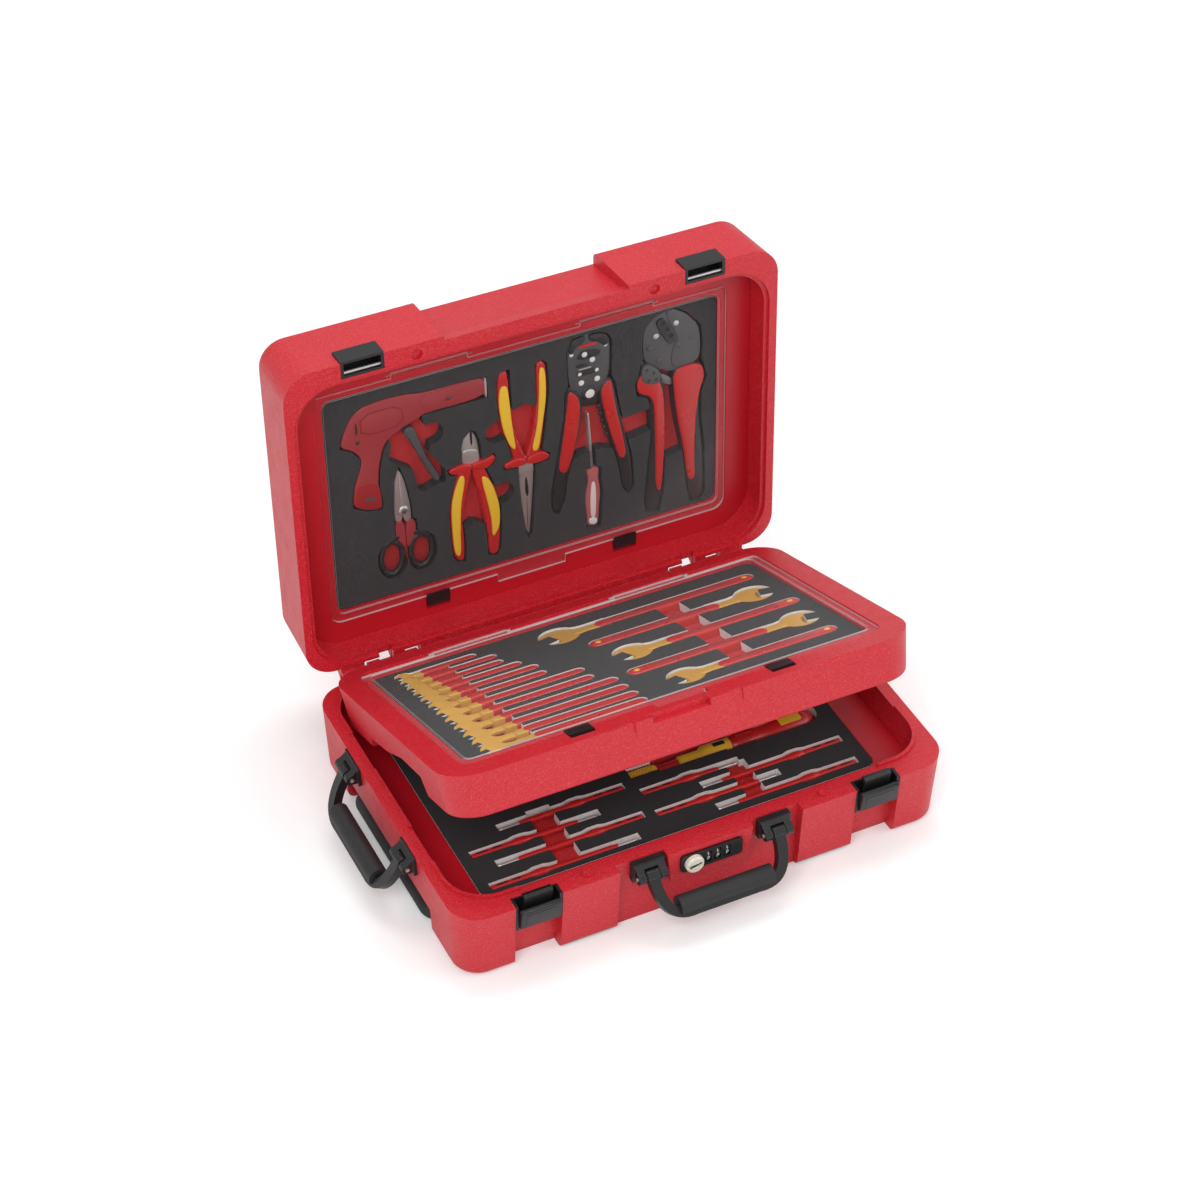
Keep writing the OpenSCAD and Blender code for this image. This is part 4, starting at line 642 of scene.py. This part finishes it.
longNose = {
    "node": "long_nose_pliers",
    "plates": [
        ("Jaws", [(-8.8, 171), (8.8, 170), (8.2, 139), (5.2, 106), (2.4, 77), (0, 75), (-3.4, 88), (-7, 128)], 8.6,
         1.4, "brightSteel"),
        ("Joint", [(-8.6, 164), (8.6, 162), (8.3, 146), (-8.2, 148)], 9.5, 0.8, "brightSteel"),
        ("Mouth", [(-0.9, 146), (0.9, 145.6), (2.6, 127), (0.6, 120.6), (-1.6, 128)], 9.0, 0.1, "toolBlack"),
        ("Line", [(-0.3, 121), (0.5, 121), (0.3, 77), (-0.3, 77)], 8.9, 0.05, "darkSteel"),
        ("ArmLeft", [(-16, 279.3), (-24, 278.8), (-27.5, 274), (-28.9, 255), (-28.6, 240), (-25, 212), (-17, 187),
                     (-13, 168), (-3, 163.2), (1, 168), (-7.5, 192), (-13.8, 219), (-15.2, 245)], 10.8, 2.6,
         "dipRed"),
        ("SkinLeft", [(-18.2, 263), (-26, 262), (-27.9, 241), (-24, 211), (-17.2, 189), (-10.6, 183.6),
                      (-14.3, 212), (-16.3, 245)], 12.3, 1.6, "dipYellow"),
        ("ArmRight", [(13, 277), (19, 280.3), (24.6, 275), (25.6, 243), (20.3, 201), (16, 172), (4, 163.2),
                      (-1, 167), (9, 197), (13.6, 232)], 11.2, 2.6, "dipRed"),
        ("SkinRight", [(16.6, 274), (23.3, 270), (23.6, 236), (18, 202), (13.7, 176), (5.6, 177), (12.6, 203),
                       (15.8, 238)], 12.6, 1.6, "dipYellow"),
        ("GuardLeft", [(-24.9, 170.3), (-13, 173.9), (0, 170.8), (0, 163.2), (-13.3, 163.2), (-23.8, 164.8)], 12.9,
         1.5, "dipRed"),
        ("GuardRight", [(0.2, 170.8), (15.3, 174.8), (24.9, 168.3), (23.5, 163), (11.6, 161.3), (0.2, 163.2)],
         13.2, 1.5, "dipRed")]}

stripper = {
    "node": "wire_stripper",
    "plates": [
        ("Head", [(47.7, 282), (52.2, 292.6), (60, 295), (70, 295.6), (84, 293), (90.3, 290), (95.2, 281),
                  (94, 241), (82, 222.4), (60, 222.4), (48.8, 239)], 9.8, 0.8, "toolGrey"),
        ("Web", [(59.4, 231), (83.6, 231), (83.4, 209), (60.4, 209)], 8.6, 0.6, "toolBlack"),
        ("CapLeft", [(48.2, 280), (52.4, 292.2), (60, 294.8), (68, 295), (67, 287), (57, 284), (53, 276)], 12,
         1.2, "toolBlack"),
        ("CapRight", [(71, 295.4), (84, 292.8), (90.2, 289.8), (94.9, 281), (88, 276), (82, 284), (72, 287)],
         12, 1.2, "toolBlack"),
        ("Blade", [(60, 284), (80, 284), (80, 281), (60, 281)], 10.8, 0.2, "dipRed"),
        ("BarA", [(57, 270), (64, 278), (84, 274), (84, 268), (66, 266)], 10.8, 0.4, "toolBlack"),
        ("BarB", [(57, 262), (70, 262), (70, 258.6), (57, 258.6)], 10.8, 0.3, "toolBlack"),
        ("BarC", [(58, 254), (80, 254), (80, 248), (58, 248)], 10.8, 0.3, "toolBlack"),
        ("BarD", [(60, 256.6), (74, 256.6), (74, 255.4), (60, 255.4)], 10.6, 0.1, "brightSteel"),
        ("ArmLeft", [(48, 240), (61.6, 229), (62, 214), (59, 177), (45, 137), (40, 105), (34, 92.4), (29, 94.4),
                     (27.2, 101), (27.2, 120), (34.7, 160), (43, 207), (44.7, 235)], 10.8, 2.6, "toolBlack"),
        ("SkinLeft", [(47.8, 236.5), (57.6, 227), (60.6, 214), (56.6, 178), (44.8, 137), (34, 143),
                      (40.2, 176), (45.5, 212)], 12.3, 1.4, "dipRed"),
        ("ArmRight", [(94, 239.6), (81.4, 229), (82.7, 210), (91, 172), (102, 134.5), (106.5, 101.5),
                      (112.6, 92.4), (118.2, 97.6), (116.8, 133), (110, 167), (103, 202), (98, 232)], 11.2, 2.6,
         "toolBlack"),
        ("SkinRight", [(93, 237), (83.2, 227.4), (84.6, 210), (93.2, 172), (103, 137), (110.8, 138.6),
                       (107, 164.6), (98.6, 206), (95.6, 229)], 12.6, 1.4, "dipRed")],
    "domes": [("Pins", [(66.5, 272.6), (75, 264.4), (62.5, 240.3), (80, 240.5)], 10.6, 3.1, 0.35, "whiteInk"),
              ("Screws", [(52.3, 276), (89.6, 277.6), (79.6, 251), (61, 251)], 10.6, 2.2, 0.35, "whiteInk"),
              ("Collar", [(71, 226)], 10.6, 8.4, 0.24, "toolBlack"),
              ("Pivot", [(71, 226)], 11.9, 5.2, 0.26, "whiteInk"),
              ("TeethLeft", [(62.6, 206), (61.6, 197), (60.2, 188), (58, 179), (55.6, 170)], 6.0, 2.8, 0.9,
               "toolBlack"),
              ("TeethRight", [(83.4, 204), (85, 195), (87, 186), (89.2, 177), (91.6, 168)], 6.0, 2.8, 0.9,
               "toolBlack")]}

tester = {
    "node": "voltage_tester",
    "plates": [
        ("Grip", [(66.2, 133.6), (80.8, 132.8), (81.6, 127), (80.6, 121), (81.8, 112), (83, 100), (81.3, 86),
                  (79.8, 59.3), (66, 62.2), (66.2, 76), (64.2, 92), (64.6, 104), (67.2, 115), (68.2, 122),
                  (66.6, 128)], 9.0, 3.4, "testerPink"),
        ("Core", [(72, 116), (76.5, 116), (77.6, 100), (76.6, 70), (70.6, 71), (70.4, 96)], 9.5, 1.0, "testerCore"),
        ("Foot", [(68.4, 72), (77.8, 70.4), (77.6, 62.6), (68.8, 64.4)], 9.7, 0.6, "whiteInk")],
    "limbs": [("Shaft", [(71, 198), (73, 160), (74.2, 133)], [2.4, 3.4, 3.8], 6.8, 1.0, "brightSteel")]}

crimper = {
    "node": "crimping_pliers",
    "plates": [
        ("Head", [(157, 296.6), (165, 297.6), (180, 287.8), (193.2, 271), (195.8, 255), (194.8, 226.4),
                  (163, 222.6), (153, 227.4), (140, 236.8), (131.8, 245.7), (130.6, 268), (133.3, 282.8),
                  (143.6, 292.2)], 9.6, 1.0, "toolGrey"),
        ("Jaw", [(158, 296), (165, 297), (179.6, 287.4), (192.8, 270.8), (195.4, 255), (194.6, 227), (165, 226.6),
                 (162, 240), (166, 254), (171, 260), (156, 291)], 10.6, 0.8, "toolGrey"),
        ("Die", [(143.2, 286.6), (154.5, 291.4), (169.8, 260), (159.6, 255.2)], 11.6, 0.5, "toolBlack"),
        ("Link", [(147.6, 226), (164.4, 215), (164.8, 203.6), (149, 215)], 8.2, 0.6, "darkSteel"),
        ("ArmLeft", [(128.5, 241), (136, 242.2), (148.3, 232.5), (152, 222), (155.8, 202), (155.8, 182),
                     (155.3, 146), (152, 79), (148, 58.3), (133.2, 60.8), (131.7, 75), (136.1, 123),
                     (139.6, 151), (139.1, 190), (136.7, 201.2), (124.2, 207.2), (122.2, 220), (126.2, 230)], 10.8,
         2.6, "toolBlack"),
        ("SkinLeft", [(126.8, 229), (123.4, 219.5), (124.8, 208.6), (138.8, 201.6), (142.6, 189), (143.9, 150),
                      (143.7, 87), (151, 81), (154.6, 146), (154.4, 182), (153, 203), (147, 222), (136, 232)], 12.4,
         1.4, "dipRed"),
        ("ArmRight", [(163.2, 227), (195.8, 227.8), (201, 208.5), (194.9, 190), (195, 160), (199.5, 119),
                      (200.1, 66), (195.3, 57.3), (184, 58.4), (180.2, 82), (175.9, 126), (167.7, 168),
                      (164.6, 195)], 11.2, 2.6, "toolBlack"),
        ("SkinRight", [(163.8, 226), (195.6, 226.8), (200.2, 208.6), (193.9, 191.5), (189.8, 161), (188.4, 109),
                       (190.2, 86), (181, 84), (176.4, 126), (168.7, 168), (165.6, 194.5)], 12.6, 1.6, "dipRed"),
        ("Star", [(128.8, 240), (136, 241.6), (147.6, 231.6), (150.5, 221.5), (146.2, 215), (134.4, 217),
                  (127.8, 223.8)], 13.0, 0.7, "toolGrey")],
    "domes": [("Screws", [(168, 279.6), (145.5, 270.3)], 10.6, 3.1, 0.3, "brightSteel"),
              ("Rivets", [(138.4, 257.8), (149, 240.5), (171, 252.4), (185, 257.4)], 10.2, 3.3, 0.3, "toolGrey"),
              # the die holes are flat near-black domes: painted shade for the hollows
              ("HoleShade", [(153.4, 284), (157.6, 276), (161.6, 267.4)], 11.5, 2.8, 0.12, "holeShadeBlack"),
              ("StarPins", [(134.2, 234.7), (142.4, 229.4), (144.6, 221.2), (136.6, 221.8)], 12.8, 2.1, 0.3,
               "toolBlack")]}


for tool, spec in (("tieGun", tieGun), ("scissor", scissors), ("sideCutter", sideCutters), ("longNose", longNose),
                   ("stripper", stripper), ("tester", tester), ("crimper", crimper)):
    makeTool(tool, spec)
for index, centre in enumerate(scissors["rings"]):
    ringPiece("scissorRing%d" % index, centre, lidFloor - scissors["ringHigh"], scissors["radii"],
              scissors["thick"], lidTurn, "toolBlack", "lid")
trigger = block("tieGunLever", limbOutline(lever["points"], lever["width"]), lidFloor,
                lidFloor - lever["high"], lever["soft"], lidTurn, "toolGrey", "gun_trigger")
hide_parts("tie_gun_trigger")
print("lid tools made")

# spanners of the middle tray: rows are distances from the hinge line
trayFloor = -2.0
# pairs are the first spanner's size and what each next one adds
smallSpanners = {"x": -190, "rows": [62, 79, 96.5, 114, 133, 153, 174, 196, 218.5, 241, 262.5, 282],
                 "ends": [-105, -90, -90, -78, -68, -68, -37, -37, -21.5, -21.5, -21, -21],
                 "radius": (8, 0.15), "neck": (20, 2.5), "grip": (8.4, 0.36), "thick": (3.0, 0.04),
                 "tilt": 17, "mouth": 236, "jaw": 1.3, "gap": 0.95, "neckWide": 0.66,
                 "collarWide": 0.86, "collarHigh": 8.4, "handleHigh": 9.1, "dip": 1.4}
# x of the jaw, row, x of the handle's end, jaw radius
largeSpanners = {"places": [(-21, 80, 197, 20), (175, 125, -7, 19.5), (18, 170, 202, 19), (179, 216, -8, 18.5),
                            (32, 260, 195, 18)],
                 "gap": 19, "neckWide": 15, "stem": [14, 13], "handle": [14, 15.5, 16.6], "grip": 15,
                 "inlay": [5, 6], "dot": 3,
                 "headHigh": 7.6, "stemHigh": 8.4, "handleHigh": 9.7, "inlayHigh": 9.9, "dotHigh": 10}


def polar(radius, angle):
    return Vector((radius * cos(radians(angle)), radius * sin(radians(angle))))


# an open jaw with its neck to the right; mouth is the angle that it opens at
def jawOutline(radius, gap, neck, neckWide, mouth=195):
    half = asin(gap / 2 / radius) * 180 / pi
    inward, lower, upper = polar(0.25 * radius, mouth), polar(gap / 2, mouth + 90), polar(gap / 2, mouth - 90)
    outline = [Vector((neck, -neckWide / 2)), Vector((radius * 1.5, -neckWide * 0.46)),
               Vector((radius * 1.1, -neckWide * 0.6))]
    outline += [polar(radius, -42 - (318 - mouth - half) * k / 12) for k in range(13)]
    outline += [polar(radius * 0.5, mouth) + lower, inward + lower * 0.95, inward * 0.55 + lower * 0.5,
                inward * 0.55 + upper * 0.5, inward + upper * 0.95, polar(radius * 0.5, mouth) + upper]
    outline += [polar(radius, mouth - half - (mouth - half - 42) * k / 12) for k in range(13)]
    outline += [Vector((radius * 1.1, neckWide * 0.6)), Vector((radius * 1.5, neckWide * 0.46)),
                Vector((neck, neckWide / 2))]
    return outline


def trayBlock(name, outline, high, soft, finish, low=0.0):
    return block(name, outline, trayFloor + low, trayFloor + high, soft, trayTurn, finish, "tray")


# the small ones lean on each other, so each jaw is rolled a little
def makeSmallSpanners(spec):
    for i, (row, end) in enumerate(zip(spec["rows"], spec["ends"])):
        radius, neck, grip, thick = (spec[key][0] + i * spec[key][1]
                                     for key in ("radius", "neck", "grip", "thick"))
        jaw = radius * spec["jaw"]
        rise = trayFloor + thick / 2 + jaw * sin(radians(spec["tilt"])) + 0.1
        lean = (trayTurn @ Matrix.Translation(((spec["x"] + radius + 1.5) / 1000, -row / 1000, rise / 1000))
                @ Matrix.Rotation(radians(spec["tilt"]), 4, "X"))
        outline = jawOutline(jaw, jaw * spec["gap"], neck, grip * spec["neckWide"], spec["mouth"])
        flip = [Vector((p.x, -p.y)) for p in outline]
        head = block("smallSpannerHead%d" % i, flip, -thick / 2, thick / 2, 1.5, lean, "dipOchre", "tray")
        if i == 0:
            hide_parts("small_spanners")
        place = Vector((spec["x"] + radius, row))
        collar = [place + Vector((x, 0)) for x in (neck - 9, neck + 2)]
        trayBlock("smallSpannerCollar%d" % i, limbOutline(collar, [grip * spec["collarWide"], grip], 5),
                  spec["collarHigh"], 1.8, "dipOchre")
        handle = [place + Vector((neck + 2, 0)), Vector((end - grip / 2, row))]
        trayBlock("smallSpannerHandle%d" % i, limbOutline(handle, [grip + spec["dip"]] * 2), spec["handleHigh"],
                  2.6, "dipRed")


def makeLargeSpanners(spec):
    for i, (x, row, end, jaw) in enumerate(spec["places"]):
        side = 1 if end > x else -1
        length = abs(end - x)

        def put(points):
            return [Vector((x + side * p.x, row - p.y)) for p in points]
        head = trayBlock("largeSpannerHead%d" % i, put(jawOutline(jaw, spec["gap"], jaw * 2.1, spec["neckWide"])),
                         spec["headHigh"], 2.4, "dipOchre")
        if i == 0:
            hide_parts("large_spanners")
        start = jaw * 2.3
        stem = put([Vector((jaw * 1.1, 0)), Vector((start, 0))])
        trayBlock("largeSpannerStem%d" % i, limbOutline(stem, spec["stem"], 5), spec["stemHigh"], 2.4, "dipOchre")
        handle = put([Vector((start, 0)), Vector((length * 0.6, 0)), Vector((length - spec["grip"] / 2, 0))])
        trayBlock("largeSpannerHandle%d" % i, limbOutline(handle, spec["handle"]), spec["handleHigh"], 3,
                  "dipRed")
        inlay = put([Vector((start + 12, 0)), Vector((length - 26, 0))])
        trayBlock("largeSpannerInlay%d" % i, limbOutline(inlay, spec["inlay"]), spec["inlayHigh"], 0.4,
                  "gunRed", 3)
        dot = put([Vector((length - spec["grip"] * 0.6, 0))])[0]
        trayBlock("largeSpannerDot%d" % i, discOutline(dot, spec["dot"], 18), spec["dotHigh"], 0.3,
                  "dipYellow", 3)


makeSmallSpanners(smallSpanners)
makeLargeSpanners(largeSpanners)
print("spanners made")

# tools of the base
baseFloor = 35.5


def alongX(x, y, z):
    return Matrix.Translation((x / 1000, y / 1000, z / 1000))


torque = {"place": (-13, -26, 32.9), "knob": 31, "slider": (55, 113), "length": 208, "stem": 5.1,
          "ribs": {"Count": 14, "Ring radius": 0.0120, "Rod radius": 0.0009, "Rod length": 0.019},
          "window": (13, 5, 0.8), "label": (24, 12, 1.6)}


def makeTorqueHandle(spec):
    place = alongX(*spec["place"])
    start, stop = spec["slider"]
    ridges = [(2.4 + k * 1.6, 7.7 if k % 2 else 6.7) for k in range(17)]
    knob = turned("torqueKnob", [(0, 5.2), (0.8, 6.8)] + ridges + [(spec["knob"] - 1, 7), (spec["knob"], 5.6)],
                  place, "dipYellow", "case")
    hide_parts("torque_handle")
    turned("torqueStem", [(spec["knob"] - 1, 4.8), (spec["knob"], spec["stem"]), (start + 2, spec["stem"])],
           place, "dipRed", "case")
    turned("torqueSlider", [(start, 5), (start + 2, 7), (start + 24, 7), (start + 27, 9.2), (start + 31, 9.6),
                            (stop, 9.6), (stop + 1, 8)], place, "dipYellow", "case")
    turned("torqueHandle", [(stop - 2, 8), (stop, 10.4), (stop + 8, 12.3), (stop + 20, 12.5), (stop + 32, 11),
                            (stop + 42, 10.8), (stop + 52, 12.7), (stop + 60, 13), (stop + 80, 13),
                            (spec["length"] - 7, 11.6), (spec["length"] - 2, 7.4), (spec["length"], 1)],
           place, "dipRed", "case")
    ribs = place @ alongX(stop + 14, 0, 0) @ Matrix.Rotation(radians(90), 4, "Y")
    fromGroup("torqueRibs", rodRing, spec["ribs"], [], ribs, "dipDarkRed", "case")
    x, y, z = spec["place"]
    block("torqueWindow", slabOutline((x + stop - 13, -y), *spec["window"]), z + 8.6, z + 9.9, 0.3, flat,
          "toolBlack", "case")
    block("torqueLabel", slabOutline((x + stop + 66, -y), *spec["label"]), z + 11, z + 12.99, 0.3, flat,
          "dipYellow", "case")


# x of the handle end, row, length and the way each blade points
blades = {"rows": [(-27, -41.5, 133, -1), (-198.5, -64, 134, 1), (-27, -85, 154, -1), (-199, -110, 155, 1),
                   (-13, -57, 105, 1), (198, -73.5, 154, -1), (-13, -89.5, 133, 1), (197, -107, 153, -1)],
          "collar": 51, "rise": 4.8, "slots": ((5, 12), (22, 9)), "slotWide": 1.7}


def makeBlades(spec):
    for i, (x, y, length, way) in enumerate(spec["rows"]):
        place = alongX(x, y, baseFloor + spec["rise"]) @ Matrix.Rotation(0 if way > 0 else pi, 4, "Z")
        middle = spec["collar"]
        shank = turned("bladeShank%d" % i, [(0, 2.6), (0.9, 3.7), (middle - 8, 3.8)], place, "dipRed", "case", 16)
        if i == 0:
            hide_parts("driver_blades")
        turned("bladeCollar%d" % i, [(middle - 10, 3.7), (middle - 6, 4.3), (middle - 4, 4.8), (middle + 3, 4.8),
                                     (middle + 6, 4.3), (middle + 11, 3.4)], place, "dipRed", "case", 18)
        turned("bladeSleeve%d" % i, [(middle + 8, 3.5), (length - 30, 3.3), (length - 22, 2.7)], place, "dipRed",
               "case", 16)
        turned("bladeTip%d" % i, [(length - 24, 2), (length - 4, 2), (length - 0.4, 1.3), (length, 0.8)], place,
               "brightSteel", "case", 12)
        # the slots are thin black plates on the shank: painted shade for the hollow of each slot
        for start, wide in spec["slots"]:
            slotShade = place @ alongX(start + wide / 2, 0, 0)
            block("bladeSlot%d_%d" % (i, start), slabOutline((0, 0), wide, spec["slotWide"], 0.5), 3.2, 3.86, 0.1,
                  slotShade, "toolBlack", "case")


makeTorqueHandle(torque)
makeBlades(blades)
print("base tools made")

# treads of the two wheels
wheelSpec = {"x": 247, "y": 124, "z": 18.5,
             "treads": {"Count": 36, "Ring radius": 0.0174, "Rod radius": 0.0006, "Rod length": 0.014}}
for body, side in (("wheel_front", -1), ("wheel_rear", 1)):
    hub = alongX(wheelSpec["x"], side * wheelSpec["y"], wheelSpec["z"]) @ Matrix.Rotation(radians(90), 4, "X")
    fromGroup(body + "_treads", rodRing, wheelSpec["treads"], [], hub, "gripRubber", body)

# bare face plates of the latches: width, height, corner, low, high, rounding
latchSpec = {"x": 180, "pivot": (-169, 56), "tilt": 9, "up": 9,
             "plate": (41, 23, 2, 8.5, 11.2, 1.2), "panel": (31, 15, 1.5, 10.9, 11.7, 0.5)}


def frontPlace(x, y, z, tilt):
    return (Matrix.Translation((x / 1000, y / 1000, z / 1000)) @ Matrix.Rotation(radians(tilt), 4, "X")
            @ Matrix.Rotation(radians(90), 4, "X"))


def makeLatchFaces(spec):
    for side, label in ((-1, "left"), (1, "right")):
        place = frontPlace(side * spec["x"], *spec["pivot"], spec["tilt"])
        for name, key, finish in (("latchPlate_", "plate", "satinBlack"), ("latchPanel_", "panel", "toolBlack")):
            size = spec[key]
            block(name + label, slabOutline((0, spec["up"]), *size[:3]), *size[3:], place, finish,
                  "latch_" + label, 1)


# numbers round the lock's dials
dialSpec = {"xs": (-5, 5, 15), "y": -171, "z": 62, "radius": 8.0, "height": 5.4, "proud": 0.00012,
            "step": -36, "start": 8}


# cuts a flat digit into strips and bends it round the dial
def wrapDigit(mesh, radius, cuts=4, strip=0.0007):
    bm = bmesh.new()
    bm.from_mesh(mesh)
    for step in range(-cuts, cuts + 1):
        bmesh.ops.bisect_plane(bm, geom=bm.verts[:] + bm.edges[:] + bm.faces[:],
                               plane_co=(0, step * strip, 0), plane_no=(0, 1, 0))
    for vert in bm.verts:
        turn, out = vert.co.y / radius, radius + vert.co.z
        vert.co = (vert.co.x, -out * cos(turn), out * sin(turn))
    bm.to_mesh(mesh)
    bm.free()


def makeDialNumbers(spec):
    for wheel, x in enumerate(spec["xs"], 1):
        for digit in range(10):
            curve = bpy.data.curves.new("digit", "FONT")
            curve.body = str(digit)
            curve.size = spec["height"] / 1000
            curve.align_x, curve.align_y = "CENTER", "CENTER"
            curve.extrude = spec["proud"]
            holder = bpy.data.objects.new("digit", curve)
            bpy.context.collection.objects.link(holder)
            mesh = meshOf(holder)
            bpy.data.objects.remove(holder)
            wrapDigit(mesh, spec["radius"] / 1000)
            mesh.transform(Matrix.Translation((x / 1000, spec["y"] / 1000, spec["z"] / 1000))
                           @ Matrix.Rotation(radians(spec["step"] * digit + spec["start"]), 4, "X"))
            addPiece("dialNumber%d_%d" % (wheel, digit), mesh, "dial_%d" % wheel, "whiteInk", False)


makeLatchFaces(latchSpec)
makeDialNumbers(dialSpec)

# the slot across the lock's knob, a black sheet sunk flush into its face: painted shade for the slot's hollow
knobSlot = {"size": (13, 1.8, 0.6), "turn": 18, "deep": 0.5}
knobLow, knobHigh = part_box("lock_knob")
knobFace = (Matrix.Translation(((knobLow[0] + knobHigh[0]) / 2, knobLow[1], (knobLow[2] + knobHigh[2]) / 2))
            @ Matrix.Rotation(radians(90), 4, "X") @ Matrix.Rotation(radians(knobSlot["turn"]), 4, "Z"))
block("lockKnobSlot", slabOutline((0, 0), *knobSlot["size"]), -knobSlot["deep"], 0, 0.1, knobFace, "toolBlack",
      "lock_knob", 1)


# soft edges on the moulded pieces and the foam, in millimetres
softEdges = {"base_shell": 1.0, "lid_shell": 1.0, "tray_shell": 1.0, "base_liner": 0.8, "lid_liner": 0.8,
             "lid_hoods": 0.5, "latch_frames": 0.5, "front_brackets": 0.6, "side_brackets": 0.6,
             "front_handle": 1.2, "side_handle": 1.2, "base_foam": 0.4, "tray_foam": 0.4, "lid_foam": 0.4}


def softenEdges(widths):
    for name, width in widths.items():
        node = nodes[name]
        weld = node.modifiers.new("weld", "WELD")
        weld.merge_threshold = 0.00001
        bevel = node.modifiers.new("softEdge", "BEVEL")
        bevel.width = width / 1000
        bevel.segments = 3
        bevel.limit_method = "ANGLE"
        bevel.angle_limit = radians(38)
        bevel.use_clamp_overlap = True
        bevel.harden_normals = False
        node.data.shade_smooth()
        sharp = node.modifiers.new("flatFaces", "WEIGHTED_NORMAL")
        sharp.keep_sharp = True
        sharp.weight = 90


softenEdges(softEdges)
print("edges softened")


# studio
studio = {"floorColour": (0.86, 0.86, 0.86), "floorLift": 0.16, "worldLevel": 0.62, "floorSize": 30,
          "floorDrop": 0.0005,
          "lamps": {"keyLamp": ((-1.6, -1.8, 2.6), (0, 0, 0.15), (1.6, 1.6), 48),
                    "fillLamp": ((2.4, -1.6, 1.6), (0, 0, 0.1), (1.8, 1.4), 22),
                    "topLamp": ((0.3, 0.9, 2.8), (0, 0.1, 0.2), (1.6, 1.2), 26)}}


def buildStudio(spec):
    bpy.ops.mesh.primitive_plane_add(size=spec["floorSize"], location=(0, 0, -spec["floorDrop"]))
    floor = bpy.context.object
    floor.name = "floor"
    material = bpy.data.materials.new("floorPaper")
    material.use_nodes = True
    tree = material.node_tree
    shader = tree.nodes["Principled BSDF"]
    shader.inputs["Base Color"].default_value = (*spec["floorColour"], 1)
    shader.inputs["Roughness"].default_value = 0.9
    shader.inputs["Specular IOR Level"].default_value = 0.1
    shader.inputs["Emission Color"].default_value = (1, 1, 1, 1)
    path = tree.nodes.new("ShaderNodeLightPath")
    lift = addMath(tree, "MULTIPLY", path.outputs["Is Camera Ray"], spec["floorLift"])
    tree.links.new(lift, shader.inputs["Emission Strength"])
    floor.data.materials.append(material)
    world = bpy.data.worlds.new("studioWorld")
    bpy.context.scene.world = world
    world.use_nodes = True
    background = world.node_tree.nodes["Background"]
    background.inputs["Color"].default_value = (1, 1, 1, 1)
    background.inputs["Strength"].default_value = spec["worldLevel"]


def addLamp(name, place, target, size, power):
    data = bpy.data.lights.new(name, "AREA")
    data.shape = "RECTANGLE"
    data.size, data.size_y = size
    data.energy = power
    lamp = bpy.data.objects.new(name, data)
    bpy.context.collection.objects.link(lamp)
    lamp.location = place
    lamp.rotation_euler = (Vector(target) - Vector(place)).to_track_quat("-Z", "Y").to_euler()


buildStudio(studio)
for name, values in studio["lamps"].items():
    addLamp(name, *values)
bpy.context.scene.view_settings.view_transform = "Standard"
print("studio built")
